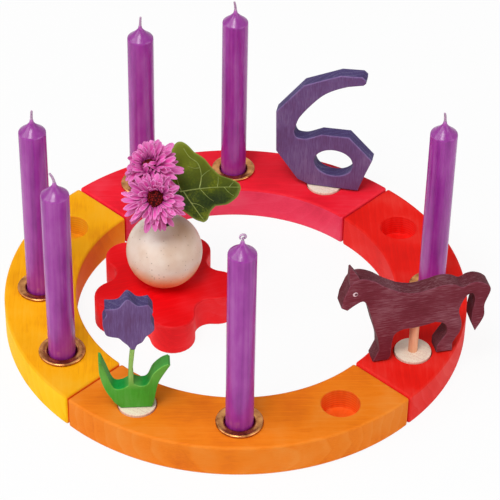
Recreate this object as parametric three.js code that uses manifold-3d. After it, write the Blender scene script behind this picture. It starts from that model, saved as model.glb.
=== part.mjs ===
// A wooden birthday ring: four loose quarter segments in a circle, six candles in brass cups,
// three sawn figures on plugs, and a small ball vase on a flower-shaped stand in the middle.
// Millimetres, +Z up, front towards -Y. The table top is z = 0.
import * as THREE from 'three';
import { mergeVertices } from 'three/addons/utils/BufferGeometryUtils.js';
import Module from 'manifold-3d';

const wasm = await Module();
wasm.setup();

// Ring
const ringOuterRadius = 120;
const ringInnerRadius = 82.5;
const ringThickness = 18.5;
const ringEdge = 1.5;
const quarterCorner = 1.5;
const quarterSpread = 1.8;
const socketRadius = 10;
const socketDepth = 12;
const socketRim = 0.6;
const socketStep = 30;

// Gaps between pieces that touch or slide
const seatGap = 0.3;
const cupGap = 0.3;
const plugGap = 0.6;
const candleGap = 0.35;
const pegGap = 0.2;

// Brass cups
const flangeOverhang = 2;
const flangeThickness = 1.4;
const cupFloor = 1.2;
const cupMouth = 0.8;

// Candles and wicks
const candleRadius = 6.8;
const candleShoulder = 8;
const candleTip = 1.7;
const wickRadius = 0.75;
const wickBore = 1.1;
const wickLength = 6;
const curlRadius = 1.5;

// Figures and their plugs
const plugProud = 0.8;
const pegRadius = 2;
const pegReach = 6;
const sixThickness = 8;
const flowerThickness = 8;
const horseThickness = 9.2;
const figureEdge = 0.5;
const dowelRadius = 2.4;
const dowelReach = 8;
const horseClearance = 0.8;
const bellyHeight = 18.9;
const earThickness = 4;
const earInset = 0.3;
const glueLine = 0.3;
const headBottom = 39.4;
const sixTurn = -12.4;
const flowerTurn = 2.6;
const horseTurn = 12.1;

// Stand and vase in the middle
const standThickness = 18.5;
const standEdge = 1.4;
const lobeReach = 39.8;
const lobeRadius = 11.9;
const valleyRadius = 8.7;
const lobeCount = 5;
const lobeTurn = -81;
const standCentre = new THREE.Vector2(-37.8, 7.2);
const vaseRadius = 20;
const vaseWall = 3;
const vaseFoot = 5.5;
const vaseMouth = 7;

// Flowers in the vase
const bloomRadius = 16;
const discRadius = 4.6;
const petalThickness = 1.4;
const calyxDepth = 2.6;
const stemRadius = 1.1;
const stemFloor = 1.9;
const stemBend = 5;
const leafThickness = 0.9;

const ringMiddle = (ringOuterRadius + ringInnerRadius) / 2;
const cupBodyRadius = socketRadius - cupGap;
const flangeRadius = socketRadius + flangeOverhang;
const cupBottom = ringThickness - socketDepth + seatGap;
const cupInside = cupBottom + cupFloor;
const candleBottom = cupInside + seatGap;
const plugRadius = socketRadius - plugGap;
const plugBottom = ringThickness - socketDepth + seatGap;
const plugTop = ringThickness + plugProud;

const lime = new THREE.Color(0xe8d2a8);
const stains = {
  orange: new THREE.Color(0xf07a1e),
  red: new THREE.Color(0xe42018),
  crimson: new THREE.Color(0xe51e32),
  yellow: new THREE.Color(0xfab418),
  violet: new THREE.Color(0x694b7d),
  plum: new THREE.Color(0x783241),
  green: new THREE.Color(0x3c9132),
  standRed: new THREE.Color(0xe40a14),
};

const arrangement = new THREE.Group();

// A piece with its own name and its own material
function addPiece(name, geometry, colour, roughness, metalness = 0) {
  const material = new THREE.MeshStandardMaterial({ color: colour, roughness, metalness });
  const piece = new THREE.Mesh(geometry, material);
  piece.name = name;
  arrangement.add(piece);
  return piece;
}

function radians(degrees) {
  return THREE.MathUtils.degToRad(degrees);
}

// The solid inside a closed geometry, for cutting and joining
function solidOf(geometry) {
  const bare = geometry.clone();
  bare.deleteAttribute('normal');
  bare.deleteAttribute('uv');
  const merged = mergeVertices(bare, 1e-4);
  const corners = merged.index.array;
  const triangles = [];
  for (let i = 0; i < corners.length; i += 3) {
    const [a, b, c] = [corners[i], corners[i + 1], corners[i + 2]];
    if (a !== b && b !== c && c !== a) triangles.push(a, b, c);
  }
  return new wasm.Manifold(new wasm.Mesh({
    numProp: 3,
    vertProperties: new Float32Array(merged.attributes.position.array),
    triVerts: new Uint32Array(triangles),
  }));
}

function geometryOf(solid) {
  const mesh = solid.getMesh();
  const geometry = new THREE.BufferGeometry();
  geometry.setAttribute('position', new THREE.BufferAttribute(mesh.vertProperties, 3));
  geometry.setIndex(new THREE.BufferAttribute(mesh.triVerts, 1));
  return geometry;
}

function cut(geometry, ...tools) {
  let solid = solidOf(geometry);
  for (const tool of tools) solid = solid.subtract(solidOf(tool));
  return geometryOf(solid);
}

function join(geometry, ...others) {
  let solid = solidOf(geometry);
  for (const other of others) solid = solid.add(solidOf(other));
  return geometryOf(solid);
}

// Turns a profile of [radius, height] points about the upright axis
function turned(profile, sides) {
  const points = profile.map(([radius, height]) => new THREE.Vector2(radius, height));
  return new THREE.LatheGeometry(points, sides).rotateX(Math.PI / 2);
}

function rod(radius, bottom, top, sides) {
  const edge = 0.15 * radius;
  return turned([
    [0, bottom],
    [radius - edge, bottom],
    [radius, bottom + edge],
    [radius, top - edge],
    [radius - edge, top],
    [0, top],
  ], sides);
}

function drill(radius, bottom, top, sides) {
  return turned([[0, bottom], [radius, bottom], [radius, top], [0, top]], sides);
}

// A board with softened edges, sawn from an outline that lies flat
function sawnFlat(outline, thickness, edge, curveSegments) {
  return new THREE.ExtrudeGeometry(outline, {
    depth: thickness - 2 * edge,
    bevelThickness: edge,
    bevelSize: edge,
    bevelOffset: -edge,
    bevelSegments: 1,
    curveSegments,
  }).translate(0, 0, edge);
}

// The same board stood upright: the outline's x runs sideways and its y runs up
function sawnUpright(outline, thickness, edge, curveSegments) {
  return sawnFlat(outline, thickness, edge, curveSegments)
    .translate(0, 0, -thickness / 2)
    .rotateX(Math.PI / 2);
}

function through(points) {
  return points.map(([x, y]) => new THREE.Vector2(x, y));
}

// Quarter segments, each facing outwards along one of the four main directions
const quarters = {
  orange: -90,
  red: 0,
  crimson: 90,
  yellow: 180,
};

function socketPlace(quarter, step) {
  const facing = radians(quarters[quarter]);
  const around = facing + radians(step * socketStep);
  return new THREE.Vector2(
    quarterSpread * Math.cos(facing) + ringMiddle * Math.cos(around),
    quarterSpread * Math.sin(facing) + ringMiddle * Math.sin(around),
  );
}

function quarterOutline(facing) {
  const start = radians(facing - 45);
  const end = radians(facing + 45);
  const outerTurn = quarterCorner / ringOuterRadius;
  const innerTurn = quarterCorner / ringInnerRadius;
  const at = (radius, angle) => [radius * Math.cos(angle), radius * Math.sin(angle)];
  const outline = new THREE.Shape();
  outline.absarc(0, 0, ringOuterRadius, start + outerTurn, end - outerTurn, false);
  outline.lineTo(...at(ringOuterRadius - quarterCorner, end));
  outline.lineTo(...at(ringInnerRadius + quarterCorner, end));
  outline.lineTo(...at(ringInnerRadius, end - innerTurn));
  outline.absarc(0, 0, ringInnerRadius, end - innerTurn, start + innerTurn, true);
  outline.lineTo(...at(ringInnerRadius + quarterCorner, start));
  outline.lineTo(...at(ringOuterRadius - quarterCorner, start));
  outline.closePath();
  return outline;
}

function socketTool(place) {
  const above = 1;
  return turned([
    [0, ringThickness - socketDepth],
    [socketRadius, ringThickness - socketDepth],
    [socketRadius, ringThickness - socketRim],
    [socketRadius + socketRim + above, ringThickness + above],
    [0, ringThickness + above],
  ], 24).translate(place.x, place.y, 0);
}

for (const [name, facing] of Object.entries(quarters)) {
  const spread = new THREE.Vector2(Math.cos(radians(facing)), Math.sin(radians(facing)));
  spread.multiplyScalar(quarterSpread);
  const board = sawnFlat(quarterOutline(facing), ringThickness, ringEdge, 11);
  board.translate(spread.x, spread.y, 0);
  const sockets = [-1, 0, 1].map((step) => socketTool(socketPlace(name, step)));
  addPiece(`segment_${name}`, cut(board, ...sockets), stains[name], 0.6);
}

// Candles: where each one stands, and how far its shoulder is above the wood
const candles = [
  { name: 'front', quarter: 'orange', step: 0, height: 107.2 },
  { name: 'right', quarter: 'red', step: 0, height: 100.5 },
  { name: 'back', quarter: 'crimson', step: 0, height: 98.6 },
  { name: 'back_left', quarter: 'crimson', step: 1, height: 97.6 },
  { name: 'left', quarter: 'yellow', step: 0, height: 101.4 },
  { name: 'left_front', quarter: 'yellow', step: 1, height: 101 },
];

function cupShape() {
  const under = ringThickness + seatGap;
  const top = under + flangeThickness;
  const roll = flangeThickness / 2;
  const mouthRadius = candleRadius + candleGap + cupMouth;
  return turned([
    [0, cupBottom],
    [cupBodyRadius - roll, cupBottom],
    [cupBodyRadius, cupBottom + roll],
    [cupBodyRadius, under],
    [flangeRadius - roll, under],
    [flangeRadius, under + roll],
    [flangeRadius - roll, top],
    [mouthRadius, top],
    [candleRadius + candleGap, cupInside],
    [0, cupInside],
  ], 20);
}

function candleShape(shoulder) {
  const tip = shoulder + candleShoulder;
  return turned([
    [wickBore, candleBottom],
    [candleRadius, candleBottom],
    [candleRadius, shoulder],
    [0.86 * candleRadius, shoulder + 0.16 * candleShoulder],
    [0.5 * candleRadius, shoulder + 0.55 * candleShoulder],
    [candleTip, tip],
    [wickBore, tip],
    [wickBore, candleBottom],
  ], 20);
}

// The front wick ends in a small open curl
function curledWick(bottom, tip) {
  const rise = tip + 1.2 * curlRadius;
  const centre = new THREE.Vector3(0, 0, rise + curlRadius);
  const route = [new THREE.Vector3(0, 0, bottom), new THREE.Vector3(0, 0, tip)];
  for (let turn = -80; turn <= 220; turn += 30) {
    const sideways = curlRadius * Math.cos(radians(turn));
    const up = curlRadius * Math.sin(radians(turn));
    route.push(new THREE.Vector3(sideways, -1.8 * wickRadius * (turn + 80) / 300, centre.z + up));
  }
  const line = new THREE.CatmullRomCurve3(route, false, 'centripetal');
  return tube(line, 0.8 * wickRadius, 36, 5);
}

function tube(line, radius, steps, sides) {
  const section = new THREE.Shape();
  for (let side = 0; side < sides; side += 1) {
    const angle = 2 * Math.PI * side / sides;
    const x = radius * Math.cos(angle);
    const y = radius * Math.sin(angle);
    if (side === 0) section.moveTo(x, y);
    else section.lineTo(x, y);
  }
  return new THREE.ExtrudeGeometry(section, { steps, extrudePath: line, curveSegments: 1 });
}

for (const candle of candles) {
  const place = socketPlace(candle.quarter, candle.step);
  const shoulder = ringThickness + candle.height;
  const tip = shoulder + candleShoulder;
  const bottom = candleBottom + seatGap;
  const wick = candle.name === 'front'
    ? curledWick(bottom, tip)
    : rod(wickRadius, bottom, tip + wickLength, 8);
  addPiece(`cup_${candle.name}`, cupShape(), 0xa5784b, 0.3, 1).position.set(place.x, place.y, 0);
  addPiece(`candle_${candle.name}`, candleShape(shoulder), 0x9b3c96, 0.4).position.set(place.x, place.y, 0);
  addPiece(`wick_${candle.name}`, wick, 0xf0e4e4, 0.9).position.set(place.x, place.y, 0);
}

// Plugs, pegs and figures, each turned about its own plug
function addPlug(name, place, holeRadius, holeDepth) {
  const plug = rod(plugRadius, plugBottom, plugTop, 24);
  const hole = drill(holeRadius + pegGap, plugTop - holeDepth - seatGap, plugTop + 1, 12);
  addPiece(`${name}_plug`, cut(plug, hole), lime, 0.7).position.set(place.x, place.y, 0);
}

function addPeg(name, place) {
  const peg = rod(pegRadius, plugTop - pegReach, plugTop + glueLine + pegReach, 12);
  addPiece(`${name}_peg`, peg, lime, 0.7).position.set(place.x, place.y, 0);
}

function pegHole() {
  return drill(pegRadius + pegGap, -1, pegReach + seatGap, 12);
}

function oval(middleX, middleY, radiusX, radiusY, sides) {
  const points = [];
  for (let side = 0; side < sides; side += 1) {
    const angle = 2 * Math.PI * side / sides;
    points.push([middleX + radiusX * Math.cos(angle), middleY + radiusY * Math.sin(angle)]);
  }
  return through(points);
}

function sixOutline() {
  const outline = new THREE.Shape();
  outline.moveTo(-8.5, 0);
  outline.lineTo(19.2, 0);
  outline.lineTo(22.8, 11.4);
  outline.lineTo(26.4, 21.6);
  outline.lineTo(13, 35.6);
  outline.lineTo(-2.3, 35.2);
  outline.splineThru(through([[-8.5, 32], [-12, 30.9], [-16, 31.3], [-17.6, 34.6], [-16.7, 39.1]]));
  outline.splineThru(through([[-14.9, 44.5], [-9.7, 52.4], [-2.7, 60.8], [4, 65.6], [11, 68.9]]));
  outline.lineTo(20.2, 71.3);
  outline.lineTo(20.1, 76.4);
  outline.lineTo(6.8, 75.7);
  outline.lineTo(-13.1, 66.4);
  outline.lineTo(-27.9, 46.7);
  outline.lineTo(-27.3, 20.4);
  outline.lineTo(-14.9, 2.8);
  outline.closePath();
  outline.holes.push(new THREE.Path(oval(5, 16.9, 10.8, 8.6, 18)));
  return outline;
}

function horseOutline() {
  const outline = new THREE.Shape();
  outline.moveTo(-22.5, 0);
  outline.lineTo(-14.6, 0);
  outline.lineTo(-13.2, 2.1);
  outline.lineTo(-12.9, 10.8);
  outline.splineThru(through([[-11.6, 16.4], [-7.4, 18.8], [-1.7, bellyHeight], [5.1, 19.8], [9.5, 20.8]]));
  outline.splineThru(through([[14.4, 18.6], [16.1, 13.2], [13.8, 8.7], [11.2, 4.2]]));
  outline.lineTo(11.2, 0);
  outline.lineTo(19.6, 0);
  outline.lineTo(19.4, 4.8);
  outline.splineThru(through([[21.3, 8.8], [23.2, 12.6], [23.4, 18.4], [21.6, 25.5], [22.4, 30.2]]));
  outline.splineThru(through([[24.3, 34.4], [26.4, 36.5], [28.6, 35.6], [29.4, 31], [28.6, 24], [28.6, 17.5]]));
  outline.lineTo(31, 11);
  outline.splineThru(through([[35.1, 20], [34.9, 28], [37.4, 37.2], [34.8, 41.4], [30, 43.6], [26, 43.2]]));
  outline.splineThru(through([[22.4, 41.5], [18, 43.8], [12, 44.6], [5, 43], [-3, 42], [-10.5, 44]]));
  outline.splineThru(through([[-18, 48.6], [-24, 53.2], [-30, 55.8], [-34.6, 55.4]]));
  outline.lineTo(-36.9, 51.8);
  outline.lineTo(-39.7, 44);
  outline.lineTo(-40.4, 38.6);
  outline.lineTo(-37.4, 36.6);
  outline.splineThru(through([[-33.2, 39.7], [-29.6, 41.2], [-27.4, 38.6], [-25.4, 32.6], [-23.2, 24]]));
  outline.splineThru(through([[-20.3, 14], [-19.6, 7.2]]));
  outline.closePath();
  return outline;
}

function earOutline() {
  const outline = new THREE.Shape();
  outline.moveTo(-36.2, 50.5);
  outline.lineTo(-30.8, 53);
  outline.lineTo(-32.6, 58);
  outline.lineTo(-36.2, 63.4);
  outline.lineTo(-37, 63.2);
  outline.lineTo(-37.2, 57);
  outline.closePath();
  return outline;
}

function flowerHeadOutline() {
  const outline = new THREE.Shape();
  outline.moveTo(-2.5, headBottom);
  outline.lineTo(-0.3, headBottom);
  outline.splineThru(through([[2.8, 43.4], [6.4, 46.2], [8.8, 50.8], [7.2, 56.6], [8.6, 61.6], [6.2, 67.6]]));
  outline.splineThru(through([[1, 67.4], [-3.8, 71.2], [-8.4, 66], [-14.6, 65.2], [-13.6, 60.2], [-15.8, 55]]));
  outline.splineThru(through([[-13.8, 50.6], [-9.4, 48], [-5.4, 43.2]]));
  outline.closePath();
  return outline;
}

function flowerLeavesOutline() {
  const stemTop = headBottom - glueLine;
  const outline = new THREE.Shape();
  outline.moveTo(-8.3, 0);
  outline.lineTo(7.3, 0);
  outline.splineThru(through([[8.4, 3.7], [10.3, 14.3], [12.6, 19.9], [16.5, 26.9]]));
  outline.lineTo(15.4, 27.9);
  outline.splineThru(through([[12, 26.2], [8, 21.8], [5.2, 15.3], [1.9, 14.1], [-1.2, 15.6]]));
  outline.lineTo(-1.6, 25.3);
  outline.lineTo(-0.4, stemTop);
  outline.lineTo(-2.7, stemTop);
  outline.lineTo(-3.9, 25.4);
  outline.lineTo(-4.4, 14.6);
  outline.splineThru(through([[-7.6, 12.6], [-11.5, 13.6], [-15, 23.4]]));
  outline.lineTo(-17.4, 30.4);
  outline.lineTo(-18.6, 30.6);
  outline.splineThru(through([[-18.2, 22], [-15.8, 12.4], [-11.4, 3.6]]));
  outline.closePath();
  return outline;
}

function addFigure(name, place, turn, geometry, colour, height = plugTop + glueLine) {
  const figure = addPiece(name, geometry, colour, 0.65);
  figure.position.set(place.x, place.y, height);
  figure.rotation.z = radians(turn);
}

const sixPlace = socketPlace('crimson', -1);
addPlug('six', sixPlace, pegRadius, pegReach);
addPeg('six', sixPlace);
const sixBoard = sawnUpright(sixOutline(), sixThickness, figureEdge, 3);
addFigure('number_six', sixPlace, sixTurn, cut(sixBoard, pegHole()), stains.violet);

const flowerPlace = socketPlace('orange', -1);
addPlug('flower', flowerPlace, pegRadius, pegReach);
addPeg('flower', flowerPlace);
const leafBoard = sawnUpright(flowerLeavesOutline(), flowerThickness, figureEdge, 2);
const headBoard = sawnUpright(flowerHeadOutline(), flowerThickness, figureEdge, 2);
addFigure('flower_leaves', flowerPlace, flowerTurn, cut(leafBoard, pegHole()), stains.green);
addFigure('flower_head', flowerPlace, flowerTurn, headBoard, stains.violet);

const horsePlace = socketPlace('red', -1);
const horseFoot = ringThickness + horseClearance;
const dowelTop = horseFoot + bellyHeight + dowelReach;
const dowelHole = drill(dowelRadius + pegGap, 0, bellyHeight + dowelReach + seatGap, 12);
const horseBoard = sawnUpright(horseOutline(), horseThickness, figureEdge, 2);
const ear = sawnUpright(earOutline(), earThickness, 0.4 * figureEdge, 2);
ear.translate(0, (earThickness - horseThickness) / 2 + earInset, 0);
addPlug('horse', horsePlace, dowelRadius, dowelReach);
addPiece('horse_dowel', rod(dowelRadius, plugTop - dowelReach, dowelTop, 12), lime, 0.7)
  .position.set(horsePlace.x, horsePlace.y, 0);
const horse = cut(join(horseBoard, ear), dowelHole);
addFigure('horse_body', horsePlace, horseTurn, horse, stains.plum, horseFoot);

// Five-lobed stand
function standOutline() {
  const lobeCentre = lobeReach - lobeRadius;
  const step = 2 * Math.PI / lobeCount;
  const near = lobeCentre * Math.cos(step / 2);
  const aside = lobeCentre * Math.sin(step / 2);
  const apart = Math.sqrt((lobeRadius + valleyRadius) ** 2 - aside ** 2);
  const valleyCentre = near + apart;
  const lean = Math.atan2(aside, apart);
  const outline = new THREE.Shape();
  for (let lobe = 0; lobe < lobeCount; lobe += 1) {
    const along = radians(lobeTurn) + lobe * step;
    const between = along + step / 2;
    const lobeEnd = step / 2 + lean;
    outline.absarc(lobeCentre * Math.cos(along), lobeCentre * Math.sin(along), lobeRadius,
      along - lobeEnd, along + lobeEnd, false);
    outline.absarc(valleyCentre * Math.cos(between), valleyCentre * Math.sin(between), valleyRadius,
      between + Math.PI + lean, between + Math.PI - lean, true);
  }
  return outline;
}

addPiece('flower_stand', sawnFlat(standOutline(), standThickness, standEdge, 4), stains.standRed, 0.6)
  .position.set(standCentre.x, standCentre.y, 0);

// Hollow ball with a flat foot and a round mouth
const vaseFloor = standThickness + seatGap;
const ballCentre = vaseFloor + Math.sqrt(vaseRadius ** 2 - vaseFoot ** 2);
const vaseRim = ballCentre + Math.sqrt(vaseRadius ** 2 - vaseMouth ** 2);

function vaseShape() {
  const arc = (radius, from, to, count) => {
    const points = [];
    for (let i = 0; i <= count; i += 1) {
      const angle = from + (to - from) * i / count;
      points.push([radius * Math.sin(angle), ballCentre - radius * Math.cos(angle)]);
    }
    return points;
  };
  const inside = vaseRadius - vaseWall;
  const outerStart = Math.asin(vaseFoot / vaseRadius);
  const outerEnd = Math.PI - Math.asin(vaseMouth / vaseRadius);
  const innerEnd = Math.PI - Math.asin(vaseMouth / inside);
  const innerStart = Math.asin(vaseFoot / inside);
  const innerFloor = ballCentre - inside * Math.cos(innerStart);
  return turned([
    [0, vaseFloor],
    ...arc(vaseRadius, outerStart, outerEnd, 10),
    ...arc(inside, innerEnd, innerStart, 7),
    [0, innerFloor],
  ], 24);
}

addPiece('ball_vase', vaseShape(), 0xe1d2be, 0.45).position.set(standCentre.x, standCentre.y, 0);

// Flowers: places are from the vase's axis, with heights above its rim
const upperBloom = {
  middle: new THREE.Vector3(-8.4, 4.6, vaseRim + 32),
  facing: new THREE.Vector3(-0.25, -0.72, 0.65).normalize(),
};
const lowerBloom = {
  middle: new THREE.Vector3(-4.2, -13, vaseRim + 23.9),
  facing: new THREE.Vector3(0.02, -0.86, 0.5).normalize(),
};
const leafHub = new THREE.Vector3(9, 8.4, vaseRim + 13.5);

// A ring of petals as one dished plate
function petalPlate(reach, root, count, bottom, dish, turn) {
  const outline = new THREE.Shape();
  for (let petal = 0; petal < count; petal += 1) {
    const middle = 2 * Math.PI * (petal + turn) / count;
    const half = Math.PI / count;
    const at = (radius, angle) => [radius * Math.cos(angle), radius * Math.sin(angle)];
    if (petal === 0) outline.moveTo(...at(root, middle - half));
    outline.lineTo(...at(0.9 * reach, middle - 0.62 * half));
    outline.lineTo(...at(reach, middle));
    outline.lineTo(...at(0.9 * reach, middle + 0.62 * half));
    outline.lineTo(...at(root, middle + half));
  }
  const plate = new THREE.ExtrudeGeometry(outline, { depth: petalThickness, bevelEnabled: false });
  const places = plate.attributes.position;
  for (let i = 0; i < places.count; i += 1) {
    const out = Math.hypot(places.getX(i), places.getY(i)) / reach;
    places.setZ(i, places.getZ(i) + bottom + dish * out * out);
  }
  return plate;
}

function bloomShape() {
  const disc = new THREE.SphereGeometry(1, 12, 6).rotateX(Math.PI / 2).scale(discRadius, discRadius, 2.4);
  const calyx = turned([[0, -calyxDepth], [2.4, -calyxDepth], [5, 0.4], [5, 1.2], [0, 1.2]], 10);
  return join(
    petalPlate(bloomRadius, 0.5 * bloomRadius, 18, 0, 2, 0),
    petalPlate(0.78 * bloomRadius, 0.45 * bloomRadius, 14, 1.1, 3.4, 0.4),
    disc.translate(0, 0, 2.2),
    calyx,
  );
}

function addBloom(name, bloom) {
  const head = addPiece(name, bloomShape(), 0xcd5aaa, 0.7);
  head.position.set(standCentre.x + bloom.middle.x, standCentre.y + bloom.middle.y, bloom.middle.z);
  head.quaternion.setFromUnitVectors(new THREE.Vector3(0, 0, 1), bloom.facing);
}

// A stem stands upright through the mouth and then leans to what it carries
function stemLine(mouthPlace, end, arrival) {
  const bottom = ballCentre - vaseRadius + vaseWall + stemFloor;
  return new THREE.CatmullRomCurve3([
    new THREE.Vector3(mouthPlace.x, mouthPlace.y, bottom),
    new THREE.Vector3(mouthPlace.x, mouthPlace.y, (bottom + vaseRim) / 2),
    new THREE.Vector3(mouthPlace.x, mouthPlace.y, vaseRim + 1),
    end.clone().addScaledVector(arrival, -stemBend),
    end,
  ], false, 'centripetal');
}

function addStem(name, mouthPlace, end, arrival) {
  const stem = tube(stemLine(mouthPlace, end, arrival), stemRadius, 16, 6);
  addPiece(name, stem, 0x5f8a3a, 0.8).position.set(standCentre.x, standCentre.y, 0);
}

function bloomBack(bloom) {
  return bloom.middle.clone().addScaledVector(bloom.facing, -calyxDepth - seatGap);
}

addBloom('bloom_upper', upperBloom);
addBloom('bloom_lower', lowerBloom);
addStem('stem_upper', new THREE.Vector2(-4, 1.6), bloomBack(upperBloom), upperBloom.facing);
addStem('stem_lower', new THREE.Vector2(-3, -4.3), bloomBack(lowerBloom), lowerBloom.facing);

// Three-lobed ivy leaf: its x runs from the stalk to the tip
function leafOutline() {
  const outline = new THREE.Shape();
  outline.moveTo(-1, 0);
  outline.splineThru(through([[-4.5, -4], [-3, -9], [1.4, -10.6], [8.6, -15.4], [13.1, -16.6]]));
  outline.splineThru(through([[16.2, -12], [16.6, -8.7], [20.2, -6.6], [28, -1.4], [31.6, 1.2]]));
  outline.splineThru(through([[26, 5.2], [19, 9.3], [13.8, 15.2], [6, 19.9], [-0.5, 25.4]]));
  outline.splineThru(through([[-5.5, 21], [-7.5, 13], [-5.5, 5]]));
  outline.closePath();
  return outline;
}

const leafFacing = new THREE.Vector3(0.12, -0.68, 0.72).normalize();
const leafAlong = new THREE.Vector3(1, 0.02, 0).projectOnPlane(leafFacing).normalize();
const leafAcross = new THREE.Vector3().crossVectors(leafFacing, leafAlong);
const leaf = new THREE.ExtrudeGeometry(leafOutline(), {
  depth: leafThickness,
  bevelEnabled: false,
  curveSegments: 2,
});
leaf.applyMatrix4(new THREE.Matrix4().makeBasis(leafAlong, leafAcross, leafFacing));
addPiece('ivy_leaf', leaf, 0x3c5019, 0.6)
  .position.set(standCentre.x + leafHub.x, standCentre.y + leafHub.y, leafHub.z);
const stalkEnd = leafHub.clone().addScaledVector(leafFacing, -stemRadius - seatGap).addScaledVector(leafAlong, 3);
addStem('ivy_stalk', new THREE.Vector2(0.6, 4.6), stalkEnd, leafAlong);

// The origin is on the table, midway between the outermost points each way
const box = new THREE.Box3().setFromObject(arrangement, true);
const middle = box.getCenter(new THREE.Vector3());
arrangement.position.set(-middle.x, -middle.y, -box.min.z);

export default arrangement;
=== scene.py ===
import random
from math import acos, atan2, cos, dist, pi, radians, sin, sqrt

import bmesh
import bpy
from mathutils import Matrix, Vector
from mathutils.geometry import interpolate_bezier


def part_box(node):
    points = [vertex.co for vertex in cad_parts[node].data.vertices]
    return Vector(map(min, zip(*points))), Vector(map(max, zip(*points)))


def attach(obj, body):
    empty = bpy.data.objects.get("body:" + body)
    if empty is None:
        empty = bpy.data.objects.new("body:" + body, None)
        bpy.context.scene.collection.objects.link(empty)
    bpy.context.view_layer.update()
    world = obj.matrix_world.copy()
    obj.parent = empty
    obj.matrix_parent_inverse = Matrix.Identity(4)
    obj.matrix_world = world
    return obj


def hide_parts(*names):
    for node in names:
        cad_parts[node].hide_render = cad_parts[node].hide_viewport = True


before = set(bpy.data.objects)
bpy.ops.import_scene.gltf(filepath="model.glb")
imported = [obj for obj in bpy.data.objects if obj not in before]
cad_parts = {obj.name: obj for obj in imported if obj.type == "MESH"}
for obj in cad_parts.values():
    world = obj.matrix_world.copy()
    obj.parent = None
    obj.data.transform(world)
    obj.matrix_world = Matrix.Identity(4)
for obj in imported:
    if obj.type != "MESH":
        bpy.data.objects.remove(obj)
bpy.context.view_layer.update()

# A wooden birthday ring. The pieces are shaped in millimetres and put in place in metres.
mm = 0.001
scene = bpy.context.scene
scene.view_settings.view_transform = "Standard"
print("stage: frame loaded")

cameraPlan = {
    "eye": (-26.667, -934.36, 806.64),
    "target": (6.113, 53.86, 0),
    "roll": 1.167,  # degrees, right side up
    "lens": 166.85,
    "sensorWidth": 36,
}

lightPlan = {
    "lamps": {  # towards the lamp, its size in metres, its power in watts
        "keyLamp": ((-0.22, -0.47, 0.98), 1.2, 46),
        "leftLamp": ((-0.9, -0.2, 0.75), 2.0, 32),
        "rightLamp": ((0.85, -0.4, 0.45), 2.2, 24),
    },
    "lampDistance": 3.0,  # metres
    "skyStrength": 0.25,
    "white": (1, 1, 1, 1),
    "floorGrey": (0.86, 0.86, 0.86, 1),
    "floorSize": 6.0,
    "floorDrop": 0.1,  # millimetres below the table, clear of the pieces' undersides
    "floorShadow": 0.08,  # share of the real floor, with its shadow, that the camera sees
}


# Camera and lamps

def setCamera(plan):
    eye = Vector(plan["eye"]) * mm
    forward = (Vector(plan["target"]) * mm - eye).normalized()
    level = forward.cross(Vector((0, 0, 1))).normalized()
    above = level.cross(forward)
    roll = radians(plan["roll"])
    right = level * cos(roll) + above * sin(roll)
    up = above * cos(roll) - level * sin(roll)
    data = bpy.data.cameras.new("photoCamera")
    data.lens = plan["lens"]
    data.sensor_width = plan["sensorWidth"]
    camera = bpy.data.objects.new("photoCamera", data)
    camera.matrix_world = Matrix.Translation(eye) @ Matrix((right, up, -forward)).transposed().to_4x4()
    scene.collection.objects.link(camera)
    scene.camera = camera


def addLamp(name, towards, distance, size, power):
    data = bpy.data.lights.new(name, "AREA")
    data.shape = "DISK"
    data.size = size
    data.energy = power
    lamp = bpy.data.objects.new(name, data)
    spot = Vector(towards).normalized()
    lamp.location = spot * distance
    lamp.rotation_euler = spot.to_track_quat("Z", "Y").to_euler()
    scene.collection.objects.link(lamp)


# Nodes

def addNode(kind, wires=None, tree=None, **settings):  # wires: input name to a value or an output
    wires = wires or {}
    linked = {name: value for name, value in wires.items() if isinstance(value, bpy.types.NodeSocket)}
    tree = tree or next(iter(linked.values())).id_data
    made = tree.nodes.new("ShaderNode" + kind)
    for key, value in settings.items():
        setattr(made, key, value)
    for name, value in wires.items():
        if name in linked:
            tree.links.new(value, made.inputs[name])
        else:
            made.inputs[name].default_value = value
    return made


def emptyTree(owner):  # of a material or a world
    owner.use_nodes = True
    owner.node_tree.nodes.clear()
    return owner.node_tree


def maths(operation, first, second=0.5, third=0.5):
    return addNode("Math", {0: first, 1: second, 2: third}, operation=operation).outputs[0]


def times(first, second):
    return maths("MULTIPLY", first, second)


def ranged(value, start, end, low=0.0, high=1.0):  # low up to the start, high from the end on
    return addNode("MapRange", {"Value": value, "From Min": start, "From Max": end,
                                "To Min": low, "To Max": high}).outputs[0]


# Studio

def objectFrom(name, bm, finishes=()):
    data = bpy.data.meshes.new(name)
    bm.to_mesh(data)
    bm.free()
    for finish in finishes:
        data.materials.append(finish)
    made = bpy.data.objects.new(name, data)
    scene.collection.objects.link(made)
    return made


def moved(bm, x, y, z):
    bmesh.ops.translate(bm, vec=(x, y, z), verts=bm.verts)


def seenStraight(tree):  # 1 for what the camera, a mirror or a glass sees
    rays = addNode("LightPath", tree=tree).outputs
    seen = maths("MAXIMUM", rays["Is Camera Ray"], rays["Is Glossy Ray"])
    return maths("MAXIMUM", seen, rays["Is Transmission Ray"])


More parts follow.
